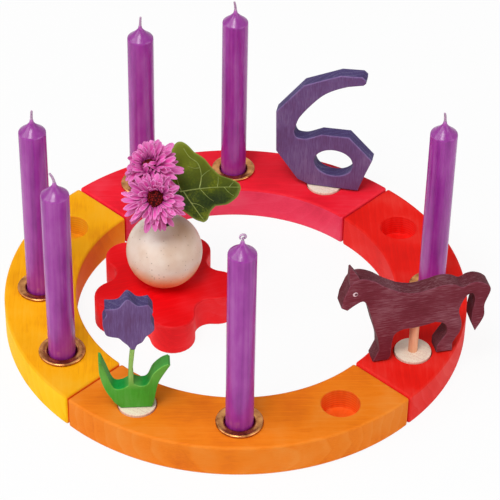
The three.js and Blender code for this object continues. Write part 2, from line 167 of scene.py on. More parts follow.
def setStudio(plan):
    for name, (towards, size, power) in plan["lamps"].items():
        addLamp(name, towards, plan["lampDistance"], size, power)
    sky = bpy.data.worlds.new("studioSky")
    tree = emptyTree(sky)
    strength = ranged(seenStraight(tree), 0.0, 1.0, plan["skyStrength"])
    glow = addNode("Background", {"Color": plan["white"], "Strength": strength})
    addNode("OutputWorld", {"Surface": glow.outputs[0]})
    scene.world = sky

    paint = bpy.data.materials.new("studioFloor")
    tree = emptyTree(paint)
    matt = addNode("BsdfDiffuse", {"Color": plan["floorGrey"]}, tree)
    plain = addNode("Emission", {"Color": plan["white"], "Strength": 1.0}, tree)
    share = times(seenStraight(tree), 1 - plan["floorShadow"])
    both = addNode("MixShader", {0: share, 1: matt.outputs[0], 2: plain.outputs[0]})
    addNode("OutputMaterial", {"Surface": both.outputs[0]})

    bm = bmesh.new()
    bmesh.ops.create_grid(bm, x_segments=1, y_segments=1, size=plan["floorSize"] / 2)
    moved(bm, 0, 0, -plan["floorDrop"] * mm)
    floor = objectFrom("studioFloor", bm, [paint])


setCamera(cameraPlan)
setStudio(lightPlan)
print("stage: camera and studio")


# Shapes

weldGap = 0.001  # points nearer than this, in millimetres, are one


def facesOut(bm):
    bmesh.ops.recalc_face_normals(bm, faces=bm.faces)


def upright(x, y, z=0, turn=0):
    return Matrix.Translation((x, y, z)) @ Matrix.Rotation(radians(turn), 4, "Z")


def middleOf(node):  # millimetres, on the table
    low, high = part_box(node)
    return (low.x + high.x) / 2 / mm, (low.y + high.y) / 2 / mm


def heightsOf(node):  # its bottom and its top, in millimetres
    low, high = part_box(node)
    return low.z / mm, high.z / mm


def addPiece(name, bm, place, body, nodes, slotName, finishes, smoothAngle=40, even=False):
    bmesh.ops.transform(bm, matrix=Matrix.Scale(mm, 4) @ place, verts=bm.verts)
    made = objectFrom(name, bm, finishes)
    made.data.shade_smooth()
    made.data.set_sharp_from_angle(angle=radians(smoothAngle))
    if even:
        evened = made.modifiers.new("evenNormals", "WEIGHTED_NORMAL")
        evened.keep_sharp = True
    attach(made, body)
    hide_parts(*nodes)


def softened(path, steps=4):  # path of (across, up, setback of the rounding)
    line = []
    for i, (x, y, setback) in enumerate(path):
        corner = Vector((x, y))
        if setback == 0:
            line.append(corner)
            continue
        start = corner + (Vector(path[i - 1][:2]) - corner).normalized() * setback
        end = corner + (Vector(path[i + 1][:2]) - corner).normalized() * setback
        for step in range(steps + 1):
            t = step / steps
            line.append(start * (1 - t) ** 2 + corner * 2 * t * (1 - t) + end * t ** 2)
    return line


def spun(line, steps=64):  # a line of (across, up), turned about the upright axis
    bm = bmesh.new()
    dots = [bm.verts.new((x, 0, z)) for x, z in line]
    sides = [bm.edges.new(pair) for pair in zip(dots, dots[1:])]
    bmesh.ops.spin(bm, geom=dots + sides, cent=(0, 0, 0), axis=(0, 0, 1), dvec=(0, 0, 0),
                   angle=2 * pi, steps=steps, use_merge=True, use_duplicate=False)
    bmesh.ops.remove_doubles(bm, verts=bm.verts, dist=weldGap)
    facesOut(bm)
    if bm.calc_volume(signed=True) < 0:
        bmesh.ops.reverse_faces(bm, faces=bm.faces)
    return bm


def smoothLine(spots, parts=8):  # a curve through the spots
    spots = [Vector(spot) for spot in spots]
    line = [spots[0]]
    for i, (start, end) in enumerate(zip(spots, spots[1:])):
        reach = (end - start).length / 3
        leanStart = (end - spots[max(i - 1, 0)]).normalized() * reach
        leanEnd = (spots[min(i + 2, len(spots) - 1)] - start).normalized() * reach
        line += interpolate_bezier(start, start + leanStart, end - leanEnd, end, parts + 1)[1:]
    return line


def extruded(bm, geom):  # the new vertices and the new faces
    grown = bmesh.ops.extrude_face_region(bm, geom=geom)["geom"]
    return ([part for part in grown if isinstance(part, bmesh.types.BMVert)],
            [part for part in grown if isinstance(part, bmesh.types.BMFace)])


def swept(line, widthAt, sides, twist=0, bm=None):  # a round bar along a line
    bm = bm or bmesh.new()
    turn = Vector((0, 0, 1)).rotation_difference(line[1] - line[0])
    heading = line[1] - line[0]
    places = []
    for i, spot in enumerate(line):
        ahead = line[min(i + 1, len(line) - 1)] - line[max(i - 1, 0)]
        turn = heading.rotation_difference(ahead) @ turn
        heading = ahead
        share = i / (len(line) - 1)
        shape = Matrix.Rotation(twist * share, 4, "Z") @ Matrix.Scale(widthAt(share), 4)
        places.append(Matrix.Translation(spot) @ turn.to_matrix().to_4x4() @ shape)
    ring = bmesh.ops.create_circle(bm, cap_ends=True, segments=sides, radius=1)["verts"]
    bmesh.ops.transform(bm, matrix=places[0], verts=ring)
    cap = ring[0].link_faces[0]
    made = list(ring)
    for before, after in zip(places, places[1:]):
        dots, faces = extruded(bm, [cap, *cap.edges, *cap.verts])
        cap = faces[0]
        bmesh.ops.transform(bm, matrix=after @ before.inverted(), verts=dots)
        made += dots
    faces = list({face for dot in made for face in dot.link_faces})
    bmesh.ops.recalc_face_normals(bm, faces=faces)
    return bm


def knotsOf(outline):  # corners are pairs; a list of pairs is a smooth run from the point before it
    knots = []
    for part in outline:
        if isinstance(part, tuple):
            knots.append([Vector(part), None, None])
            continue
        path = [knots[-1][0]] + [Vector(spot) for spot in part]
        for i, spot in enumerate(path):
            lean = (path[min(i + 1, len(path) - 1)] - path[max(i - 1, 0)]) / 6
            if i > 0:
                knots.append([spot, spot - lean, None])
            if i < len(path) - 1:
                knots[-1][2] = spot + lean
    for i, knot in enumerate(knots):
        before = knots[i - 1][0]
        after = knots[(i + 1) % len(knots)][0]
        knot[1] = knot[1] or knot[0].lerp(before, 1 / 3)
        knot[2] = knot[2] or knot[0].lerp(after, 1 / 3)
    return knots


def sawnBoard(loops, thickness, edge, fineness=8, softness=3):  # lies flat, its middle at height 0
    curve = bpy.data.curves.new("outline", "CURVE")
    curve.dimensions = "2D"
    curve.fill_mode = "BOTH"
    curve.resolution_u = fineness
    curve.extrude = thickness / 2 - edge
    curve.bevel_depth = edge
    curve.bevel_resolution = softness
    curve.offset = -edge
    for loop in loops:
        knots = knotsOf(loop)
        spline = curve.splines.new("BEZIER")
        spline.bezier_points.add(len(knots) - 1)
        spline.use_cyclic_u = True
        for point, (spot, before, after) in zip(spline.bezier_points, knots):
            point.handle_left_type = "FREE"
            point.handle_right_type = "FREE"
            point.co = (*spot, 0)
            point.handle_left = (*before, 0)
            point.handle_right = (*after, 0)
    holder = bpy.data.objects.new("outline", curve)
    flat = bpy.data.meshes.new_from_object(holder)
    bm = bmesh.new()
    bm.from_mesh(flat)
    bpy.data.objects.remove(holder)
    bpy.data.curves.remove(curve)
    bpy.data.meshes.remove(flat)
    bmesh.ops.remove_doubles(bm, verts=bm.verts, dist=2 * weldGap)
    bmesh.ops.dissolve_limit(bm, angle_limit=0.02, verts=bm.verts, edges=bm.edges)
    facesOut(bm)
    markEdge(bm, -thickness / 2, thickness / 2, edge)
    markSides(bm)
    return bm


def markEdge(bm, low, high, edge):  # the rounding between a flat face and a side, which gets a painted highlight
    edgeHighlight = bm.verts.layers.float.get("edgeHighlight") or bm.verts.layers.float.new("edgeHighlight")
    for vert in bm.verts:
        share = min(vert.co.z - low, high - vert.co.z) / edge
        vert[edgeHighlight] = sin(pi * share) if 0 < share < 1 else 0


def markSides(bm):  # side faces get the second finish
    for face in bm.faces:
        face.material_index = 1 if abs(face.normal.z) < 0.3 else 0


# Finishes

waveTurn = 0.314  # a wave texture at scale 1 repeats after this length
woodPlan = {
    "deepShare": 0.2,
    "paleShare": 0.16,
    "driftStretch": (0.012, 0.04, 0.04),
    "drift": (9, 9, 9),  # how far the growth rings wander, in millimetres
    "strandStretch": (0.07, 1.0, 1.0),
    "poreStretch": (0.22, 1.6, 1.6),
    "clouds": 0.9,
    "drillShare": 0.55,
}


def toLinear(tint):  # a colour as a screen shows it, 0 to 255
    parts = [part / 255 / 12.92 if part <= 10 else ((part / 255 + 0.055) / 1.055) ** 2.4 for part in tint]
    return (*parts, 1)


def deeper(tint, share):  # darker and fuller
    return tuple(part * (1 - loss * share) for part, loss in zip(tint, (0.55, 1.3, 1.2)))


def paler(tint, share):
    return tuple(part + (255 - part) * share for part in tint)


# A new material and, as a node's output, the place on the piece in millimetres, its grain turned to x
def newFinish(name, middle=(0, 0, 0), turn=(0, 0, 0)):
    finish = bpy.data.materials.new(name)
    place = addNode("Mapping", {
        "Vector": addNode("TexCoord", tree=emptyTree(finish)).outputs["Object"],
        "Location": Vector(middle) * mm,
        "Rotation": [radians(angle) for angle in turn],
        "Scale": (mm, mm, mm),
    }, vector_type="TEXTURE").outputs[0]
    return finish, place


def shaded(finish, sockets):
    shader = addNode("BsdfPrincipled", sockets, finish.node_tree)
    addNode("OutputMaterial", {"Surface": shader.outputs[0]})
    return finish


def mixed(factor, first, second):  # the second is a colour as a screen shows it, the first may be one
    first = toLinear(first) if isinstance(first, tuple) else first
    wires = {0: factor, 6: first, 7: toLinear(second)}
    return addNode("Mix", wires, data_type="RGBA").outputs[2]


def ramped(value, *stops):  # stops of (place, grey) or (place, colour as a screen shows it)
    made = addNode("ValToRGB", {"Fac": value})
    ramp = made.color_ramp
    while len(ramp.elements) < len(stops):
        ramp.elements.new(0.5)
    for element, (place, tone) in zip(ramp.elements, stops):
        element.position = place
        element.color = toLinear(tone) if isinstance(tone, tuple) else (tone, tone, tone, 1)
    return made.outputs[0]


def mottled(pattern, start, end, first, second, most=1.0):  # the pattern's high places take the second
    return mixed(ramped(pattern, (start, 0.0), (end, most)), first, second)


def vectors(operation, first, second, third=(0, 0, 0)):
    return addNode("VectorMath", {0: first, 1: second, 2: third}, operation=operation).outputs[0]


def scaled(place, factors):
    return vectors("MULTIPLY", place, factors)


def noise(place, scale, detail=3.0, roughness=0.5, output="Fac"):
    wires = {"Vector": place, "Scale": scale, "Detail": detail, "Roughness": roughness}
    return addNode("TexNoise", wires).outputs[output]


def swayed(tone, pattern, share):  # a tone, moved by a pattern round 0.5
    return maths("MULTIPLY_ADD", maths("SUBTRACT", pattern), share, tone)


def bumped(height, strength, depth, **settings):  # depth in millimetres
    return addNode("Bump", {"Height": height, "Strength": strength, "Distance": depth * mm},
                   **settings).outputs[0]


def attribute(finish, name):
    return addNode("Attribute", tree=finish.node_tree, attribute_name=name).outputs["Fac"]


# Stained wood: fibres and growth rings along the grain, clouds where the stain took unevenly
def stainedWood(name, tint, middle, turn, pith=(0, 40, -30), fibre=0.3, rings=0.2, ringWidth=3.2,
                contrast=1, fineness=1, edgeHighlight=0.4, edgeHighlightTone=None, fade=None, drilled=None, roughness=0.6):
    plan = woodPlan
    finish, place = newFinish(name, middle, turn)
    deep = deeper(tint, plan["deepShare"] * contrast)
    pale = paler(tint, plan["paleShare"] * contrast)
    drift = noise(scaled(place, plan["driftStretch"]), 1.0, 2.0, output="Color")
    bent = vectors("MULTIPLY_ADD", drift, plan["drift"], pith)
    growth = addNode("TexWave", {
        "Vector": vectors("ADD", place, bent),
        "Scale": waveTurn / ringWidth,
        "Distortion": 1.2,
        "Detail": 2.0,
        "Detail Scale": 0.6,
    }, wave_type="RINGS", rings_direction="X", wave_profile="SAW").outputs["Fac"]
    line = ramped(growth, (0.0, 0.45), (0.55, 0.55), (0.86, 0.85), (1.0, 0.3))
    strand = noise(scaled(place, plan["strandStretch"]), 1.7 * fineness, 5.0, 0.62)
    pore = noise(scaled(place, plan["poreStretch"]), 2.3, 2.0)
    tone = swayed(0.5, strand, 1.5 * fibre)
    tone = swayed(tone, line, rings)
    tone = swayed(tone, noise(place, 0.045), plan["clouds"])
    colour = ramped(tone, (0.12, deep), (0.5, tint), (0.9, pale))
    dash = ramped(pore, (0.62, 0.0), (0.74, 1.0))
    colour = mixed(times(dash, 0.8 * fibre), colour, deep)
    if fade:
        colour = mixed(fade["share"](place), colour, fade["stain"])
    if drilled:  # fine marks round a socket's wall
        mark = addNode("TexWave", {
            "Vector": place,
            "Scale": waveTurn / drilled,
            "Distortion": 1.0,
            "Detail": 1.0,
        }, wave_type="BANDS", bands_direction="Z").outputs["Fac"]
        colour = mixed(times(mark, plan["drillShare"]), colour, deep)
    # A painted highlight along the rounded edges, broken into patches
    patch = ramped(noise(place, 0.35), (0.35, 0.2 * edgeHighlight), (0.65, edgeHighlight))
    colour = mixed(times(attribute(finish, "edgeHighlight"), patch), colour, edgeHighlightTone or pale)
    return shaded(finish, {
        "Base Color": colour,
        "Roughness": ranged(strand, 0.3, 0.7, roughness - 0.05, roughness + 0.09),
        "Specular IOR Level": 0.12,
        "Normal": bumped(maths("MULTIPLY_ADD", dash, -0.6, strand), 0.35, 0.08),
    })


# Ring segments

ringPlan = {
    "outerRadius": 120,
    "innerRadius": 82.5,
    "thickness": 18.5,
    "edge": 1.4,
    "spread": 1.8,  # how far each quarter lies from the ring's middle
    "endReach": 0.8,  # how far the sawn ends reach beyond a true quarter
    "socketRadius": 9.9,
    "socketDepth": 12,
    "socketRim": 0.5,  # rounding at its mouth and round its floor
    "socketStep": 30,
    "drillMarks": 1.5,  # from one mark on the wall to the next
    "arcSteps": 48,
    "stains": {  # facing, pith, then the stain on top; outside, set apart from the top as painted light on the standing faces; in the sockets, with painted shade and bounce light of the holes; on the ends, darker end grain with painted shade and bounce light of the seams; inside, as outside, the yellow's with painted bounce light
        "orange": (-90, (0, 95, -20), (238, 126, 20), (240, 128, 22), (255, 116, 30), (252, 104, 30),
                   (240, 128, 22)),
        "red": (0, (0, 70, -40), (233, 26, 16), (240, 44, 38), (250, 28, 20), (246, 30, 24),
                (240, 44, 38)),
        "crimson": (90, (0, 60, -60), (242, 28, 48), (240, 62, 94), (224, 22, 36), (246, 30, 56),
                    (240, 62, 94)),
        "yellow": (180, (0, -80, -30), (252, 174, 8), (254, 198, 0), (255, 186, 30), (255, 122, 18),
                   (255, 150, 8)),
    },
}
segmentBodies = {
    "orange": "front_segment",
    "red": "right_segment",
    "crimson": "back_segment",
    "yellow": "left_segment",
}


def ringCentre():
    return middleOf("segment_orange")[0], middleOf("segment_red")[1]


def ringSpot(facing, step):  # where a socket is
    plan = ringPlan
    x, y = ringCentre()
    facing = radians(facing)
    around = facing + radians(step * plan["socketStep"])
    reach = (plan["outerRadius"] + plan["innerRadius"]) / 2
    return (x + plan["spread"] * cos(facing) + reach * cos(around),
            y + plan["spread"] * sin(facing) + reach * sin(around))


def quarterBoard(facing):
    plan = ringPlan
    inner, outer, top = plan["innerRadius"], plan["outerRadius"], plan["thickness"]
    bm = bmesh.new()
    corners = [(inner, 0, 0), (outer, 0, 0), (outer, 0, top), (inner, 0, top)]
    end = bm.faces.new([bm.verts.new(corner) for corner in corners])
    bmesh.ops.rotate(bm, matrix=Matrix.Rotation(radians(-45), 3, "Z"), verts=bm.verts)
    bmesh.ops.spin(bm, geom=[end, *end.edges, *end.verts], cent=(0, 0, 0), axis=(0, 0, 1), dvec=(0, 0, 0),
                   angle=pi / 2, steps=plan["arcSteps"], use_duplicate=False)
    bmesh.ops.remove_doubles(bm, verts=bm.verts, dist=weldGap)
    for side in (-1, 1):
        outward = Vector((-1, side, 0)).normalized()
        dots = [vert for vert in bm.verts if vert.co.dot(outward) > -0.01]
        bmesh.ops.translate(bm, vec=outward * plan["endReach"], verts=dots)
    facesOut(bm)
    sharp = [side for side in bm.edges if side.calc_face_angle(0) > 0.6]
    bmesh.ops.bevel(bm, geom=sharp, offset=plan["edge"], offset_type="OFFSET", segments=4, profile=0.5,
                    affect="EDGES", clamp_overlap=True, material=-1)
    moved(bm, plan["spread"], 0, 0)
    bmesh.ops.transform(bm, matrix=upright(*ringCentre(), 0, facing), verts=bm.verts)
    markEdge(bm, 0, top, plan["edge"])
    markSides(bm)
    return bm


def socketCutter():
    plan = ringPlan
    top = plan["thickness"]
    radius = plan["socketRadius"]
    rim = plan["socketRim"]
    flare = []
    for angle in (0, 25, 50, 75):  # the rounding at its mouth
        turn = radians(angle)
        flare.append(Vector((radius + rim * (1 - cos(turn)), top - rim + rim * sin(turn))))
    floor = top - plan["socketDepth"]
    line = softened([(0, floor, 0), (radius, floor, rim), (radius, top - rim - 1, 0)])
    return spun(line + flare + [Vector((radius + rim, top + 1)), Vector((0, top + 1))])


def cutWith(bm, cutters):  # takes the cutters' solids out of the board
    parts = [objectFrom("board", bm), *[objectFrom("cutter", cutter) for cutter in cutters]]
    board = parts[0]
    for cutter in parts[1:]:
        cut = board.modifiers.new("socket", "BOOLEAN")
        cut.operation = "DIFFERENCE"
        cut.solver = "EXACT"
        cut.object = cutter
    bpy.context.view_layer.update()
    data = bpy.data.meshes.new_from_object(board.evaluated_get(bpy.context.evaluated_depsgraph_get()))
    result = bmesh.new()
    result.from_mesh(data)
    for made in parts:
        old = made.data
        bpy.data.objects.remove(made)
        bpy.data.meshes.remove(old)
    bpy.data.meshes.remove(data)
    return result


def markSocketsAndEnds(board, spots):  # finishes: 2 in the sockets, 3 on the ends, 4 on the inner side
    plan = ringPlan
    centre = Vector(ringCentre())
    board.normal_update()
    for face in board.faces:
        middle = face.calc_center_median()
        nearest = min(dist(middle.xy, spot) for spot in spots)
        if nearest < plan["socketRadius"] + 0.05 and middle.z < plan["thickness"] - plan["socketRim"]:
            face.material_index = 2
        elif abs(face.normal.z) < 0.5:  # the rest of the standing faces
            outward = face.normal.xy.dot((middle.xy - centre).normalized())
            face.material_index = 1 if outward > 0.5 else 4 if outward < -0.5 else 3


def addSegments():
    for name, (facing, pith, *stains) in ringPlan["stains"].items():
        spots = [ringSpot(facing, step) for step in (-1, 0, 1)]
        cutters = []
        for spot in spots:
            cutter = socketCutter()
            moved(cutter, *spot, 0)
            cutters.append(cutter)
        board = cutWith(quarterBoard(facing), cutters)
        markSocketsAndEnds(board, spots)
        # all but the top colour hold painted light and shade
        finishes = [stainedWood(f"{name}{part}", stain, (*spots[1], 0), (0, 0, facing + 90), pith=pith,
                                rings=0.4 if part == "Side" else 0.2, ringWidth=4.2, edgeHighlight=0.3,
                                drilled=ringPlan["drillMarks"] if part == "Socket" else None)
                    for part, stain in zip(("Top", "Side", "Socket", "End", "Inner"), stains)]
        addPiece(f"{name}Segment", board, Matrix(), segmentBodies[name], [f"segment_{name}"],
                 f"{name}_stained_wood", finishes, even=True)


addSegments()
print("stage: ring segments")


# Candles, wicks and brass cups

candlePlan = {
    "names": ("front", "right", "back", "back_left", "left", "left_front"),
    "radius": 7,
    "footEdge": 0.6,
    "straight": (30, 12),  # its rings of points, up from the foot and down from the shoulder
    "shoulderHeight": 8,
    "cone": [  # radius, share of the shoulder's height, rounding
        (7, 0.04, 0.7),
        (3.22, 0.44, 1.4),
        (1.2, 0.74, 0.9),
        (0.8, 1, 0.3),
    ],
    "tipHollow": 0.3,
    "coneSpan": (0.05, 0.7),  # shares of the height where the painted shade of the cone starts and the tip's paler tone starts
    # how strong the cone's painted shade and the tip's paler tone are
    "coneTone": 0.6,
    "wax": (160, 49, 157),
    "deepWax": (132, 20, 132),
    "paleWax": (178, 90, 174),
    "tipWax": (200, 130, 196),
}

cupPlan = {
    "bodyRadius": 9.6,
    "flangeRadius": 12,
    "flangeThickness": 1.4,
    "flange": [(0, -0.5, 0.45), (-0.9, 0, 0.6), (-1.8, -0.25, 0.8)],  # out from its radius, up, rounding
    "edges": (0.7, 0.2, 0.3),  # roundings at its foot, at its neck and under its flange
    "wallGap": 0.2,
    "mouth": 0.45,
    "lip": [(0.7, -0.25, 0.6), (0, -0.6, 0.4)],  # out from the mouth, up, rounding
    "bore": (2, 0.3),  # down from the top where its straight part starts, rounding there
    "floor": 1.2,
    "floorEdge": 0.5,
    "brass": (204, 142, 86),
    "shadeBrass": (146, 90, 50),
}

wickPlan = {
    "radius": 0.72,
    "length": 4.9,
    "halfLean": 0.35,  # share of its lean at half its length
    "twist": 14,
    "taper": (1.3, 0.8),  # shares of its radius at the foot and at the tip
    "start": 2,  # above the candle's foot
    "curlRadius": 0.55,
    "curl": 1.35,
    "curlAngles": (-80, 221, 30),
    "curlSlope": 0.004,
    "curlLift": 1.4,
    "leans": {"right": (-0.5, -0.2), "back": (-0.7, 0.1), "back_left": (0.3, 0.4), "left": (0.3, 0.3),
              "left_front": (-2.1, 0.4)},
    "cotton": (222, 184, 214),
    "burnt": (148, 104, 148),
}


def waxFinish():
    plan = candlePlan
    finish, place = newFinish("purpleWax")
    streak = noise(scaled(place, (1, 1, 0.02)), 0.5, 2.0)
    cloud = noise(scaled(place, (1, 1, 0.35)), 0.16)
    tone = maths("MULTIPLY_ADD", cloud, 0.5, times(streak, 0.5))
    colour = ramped(tone, (0.3, plan["deepWax"]), (0.5, plan["wax"]), (0.78, plan["paleWax"]))
    # the cone darkened with the deep wax: painted shade
    colour = mixed(attribute(finish, "cone"), colour, plan["deepWax"])
    lumps = noise(scaled(place, (1, 1, 0.12)), 0.3)
    return shaded(finish, {
        "Base Color": mixed(attribute(finish, "tip"), colour, plan["tipWax"]),
        "Roughness": 0.27,
        "Specular IOR Level": 0.5,
        "Subsurface Weight": 0.12,
        "Subsurface Radius": (1.0, 0.35, 0.8),
        "Subsurface Scale": 1.0 * mm,
        "Normal": bumped(lumps, 0.5, 0.5),
    })


def brassFinish():
    finish, place = newFinish("cupBrass")
    smear = noise(place, 0.28)
    scratch = noise(scaled(place, (0.5, 3, 1)), 2.5)
    return shaded(finish, {
        "Base Color": mottled(smear, 0.35, 0.7, cupPlan["brass"], cupPlan["shadeBrass"]),
        "Metallic": 1.0,
        "Roughness": ranged(smear, 0.3, 0.75, 0.2, 0.34),
        "Normal": bumped(scratch, 0.15, 0.02),
    })


def cottonFinish():
    finish, place = newFinish("wickCotton")
    weave = noise(place, 3.0)
    return shaded(finish, {
        "Base Color": mottled(weave, 0.4, 0.65, wickPlan["cotton"], wickPlan["burnt"]),
        "Roughness": 0.85,
        "Normal": bumped(weave, 0.6, 0.1),
    })


def candleShape(bottom, top):
    plan = candlePlan
    radius = plan["radius"]
    rise = plan["shoulderHeight"]
    shoulder = top - rise
    footRing, shoulderRing = plan["straight"]
    bm = spun(softened([
        (0, bottom, 0),
        (radius, bottom, plan["footEdge"]),
        (radius, bottom + footRing, 0),
        (radius, shoulder - shoulderRing, 0),
        *[(across, shoulder + share * rise, rounding) for across, share, rounding in plan["cone"]],
        (0, top - plan["tipHollow"], 0),
    ]), 56)
    # the cone layer marks where painted shade goes over the cone
    tip, cone = [bm.verts.layers.float.new(name) for name in ("tip", "cone")]
    coneStart, tipStart = plan["coneSpan"]
    for vert in bm.verts:
        share = (vert.co.z - shoulder) / rise
        vert[tip] = plan["coneTone"] * max(0, (share - tipStart) / (1 - tipStart))
        vert[cone] = plan["coneTone"] if coneStart < share < tipStart else 0
    return bm


def cupShape(bottom, top):
    plan = cupPlan
    under = top - plan["flangeThickness"]
    bore = candlePlan["radius"] + plan["wallGap"]
    mouth = bore + plan["mouth"]
    footEdge, neckEdge, flangeEdge = plan["edges"]
    boreStart, boreEdge = plan["bore"]
    return spun(softened([
        (0, bottom, 0),
        (plan["bodyRadius"], bottom, footEdge),
        (plan["bodyRadius"], under, neckEdge),
        (plan["flangeRadius"], under, flangeEdge),
        *[(plan["flangeRadius"] + across, top + up, rounding) for across, up, rounding in plan["flange"]],
        *[(mouth + across, top + up, rounding) for across, up, rounding in plan["lip"]],
        (bore, top - boreStart, boreEdge),
        (bore, bottom + plan["floor"], plan["floorEdge"]),
        (0, bottom + plan["floor"], 0),
    ], 5), 72)


def wickLine(name, bottom, tip):
    plan = wickPlan
    spots = [(0, 0, bottom), (0, 0, tip - 1)]
    if name == "front":  # ends in an open curl
        start, end, step = plan["curlAngles"]
        for angle in range(start, end, step):
            turn = radians(angle)
            spots.append((plan["curl"] * cos(turn), plan["curlSlope"] * (start - angle),
                          tip + plan["curlLift"] + plan["curl"] * (1 + sin(turn))))
        return smoothLine(spots, 4)
    x, y = plan["leans"][name]
    early, length = plan["halfLean"], plan["length"]
    spots += [(early * x, early * y, tip + length / 2), (x, y, tip + length)]
    return smoothLine(spots)


def addCandles():
    plan = wickPlan
    wax, brass, cotton = waxFinish(), brassFinish(), cottonFinish()
    for name in candlePlan["names"]:
        place = upright(*middleOf(f"cup_{name}"))
        bottom, tip = heightsOf(f"candle_{name}")
        addPiece(f"{name}Candle", candleShape(bottom, tip), place,
                 f"{name}_candle", [f"candle_{name}"], "purple_wax", [wax], 50)
        addPiece(f"{name}Cup", cupShape(*heightsOf(f"cup_{name}")), place,
                 f"{name}_cup", [f"cup_{name}"], "cup_brass", [brass], 50)
        thick = plan["curlRadius"] if name == "front" else plan["radius"]
        line = wickLine(name, bottom + plan["start"], tip)
        foot, end = plan["taper"]
        wick = swept(line, lambda share: thick * (foot + (end - foot) * share), 7, plan["twist"])
        addPiece(f"{name}Wick", wick, place,
                 f"{name}_candle", [f"wick_{name}"], "cotton_wick", [cotton], 60)


addCandles()
print("stage: candles and cups")


# Plugs, dowel and pegs of plain wood

plugPlan = {
    "radius": 9.5,
    "edge": 0.3,
    "dowelRadius": 2.4,
    "wood": (246, 228, 206),
    "dowelWood": (248, 186, 146),
}
plugBodies = {"six": "number_plug", "flower": "blossom_plug", "horse": "pony_plug"}


def rodShape(radius, bottom, top, edge, steps=56):
    return spun(softened([(0, bottom, 0), (radius, bottom, edge), (radius, top, edge), (0, top, 0)]), steps)


def addPlugs():
    plan = plugPlan
    for name, body in plugBodies.items():
        node = f"{name}_plug"
        x, y = middleOf(node)
        wood = stainedWood(f"{name}PlugWood", plan["wood"], (x, y, 0), (0, 90, 0), pith=(0, 14, 6),
                           fibre=0.7, rings=0.25, ringWidth=2.4, edgeHighlight=0.2, roughness=0.65)
        plug = rodShape(plan["radius"], *heightsOf(node), plan["edge"])
        addPiece(f"{name}Plug", plug, upright(x, y), body, [node], "natural_wood", [wood], even=True)
        if name == "horse":
            wood = stainedWood("dowelWood", plan["dowelWood"], (x, y, 0), (0, 90, 0), pith=(0, 9, 5),
                               fibre=0.5, edgeHighlight=0)
            dowel = rodShape(plan["dowelRadius"], *heightsOf("horse_dowel"), plan["edge"], 28)
            addPiece("horseDowel", dowel, upright(x, y), body, ["horse_dowel"], "natural_wood", [wood])
            continue
        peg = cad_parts[f"{name}_peg"]
        peg.data.materials.clear()
        peg.data.materials.append(wood)


addPlugs()
print("stage: plugs")


# Sawn figures

sixPlan = {
    "thickness": 8,
    "edge": 0.8,
    "turn": -12.4,
    "outline": [
        (-8.5, 0), (19.2, 0), (22.8, 11.4), (26.4, 21.6), (13, 35.6), (-2.3, 35.2),
        [(-8.5, 32), (-12, 30.9), (-16, 31.3), (-17.6, 34.6), (-16.7, 39.1)],
        [(-14.9, 44.5), (-9.7, 52.4), (-2.7, 60.8), (4, 65.6), (11, 68.9)],
        (19.3, 71), (20.6, 72.4), (20.6, 74.6), (18.5, 76.4),
        (6.8, 75.7), (-13.1, 66.4), (-27.9, 46.7), (-27.3, 20.4), (-14.9, 2.8),
    ],
    "counterMiddle": (5, 16.9),
    "counterReach": (10.8, 8.6),
    "counterSpots": 12,
}

flowerPlan = {
    "thickness": 8,
    "edge": 0.6,
    "turn": 2.6,
    "stemStain": (150, 188, 96),
    "stemMiddle": -1.6,
    "stemReach": 4,
    "fadeStart": 12,
    "fadeLength": 9,
    "tipFade": 0.25,
    "head": [
        (-2.5, 38.2), (-0.5, 38.2),
        [(0.6, 40.9), (3.1, 42.7), (4.9, 46), (7.4, 48.2), (9, 51), (7.7, 55.4), (7.4, 59), (8.4, 62),
         (6.2, 66.4)],
        [(1, 66), (-3.8, 70), (-8.4, 64.8), (-14.8, 64.4)],
        [(-14, 60.6), (-15.9, 56), (-15.3, 50.6)],
        [(-14.2, 47.6), (-11.4, 46.4), (-8.4, 45.6), (-6.3, 43.2), (-4.2, 41)],
    ],
    "leaves": [
        (-8.3, 0), (7.3, 0),
        [(8.4, 3.7), (10.3, 14.3), (12.6, 19.9), (16.5, 26.9)],
        (15.4, 27.9),
        [(12, 26.2), (8, 21.8), (5.2, 15.3), (1.9, 14.1), (-1.4, 15.6)],
        (-1.9, 25.3), (-0.7, 37.9), (-2.5, 37.9), (-3.7, 25.4), (-4.2, 14.6),
        [(-7.6, 12.6), (-11.5, 13.6), (-15, 23.4)],
        (-17.4, 30.4), (-18.6, 30.6),
        [(-18.2, 22), (-15.8, 12.4), (-11.4, 3.6)],
    ],
}

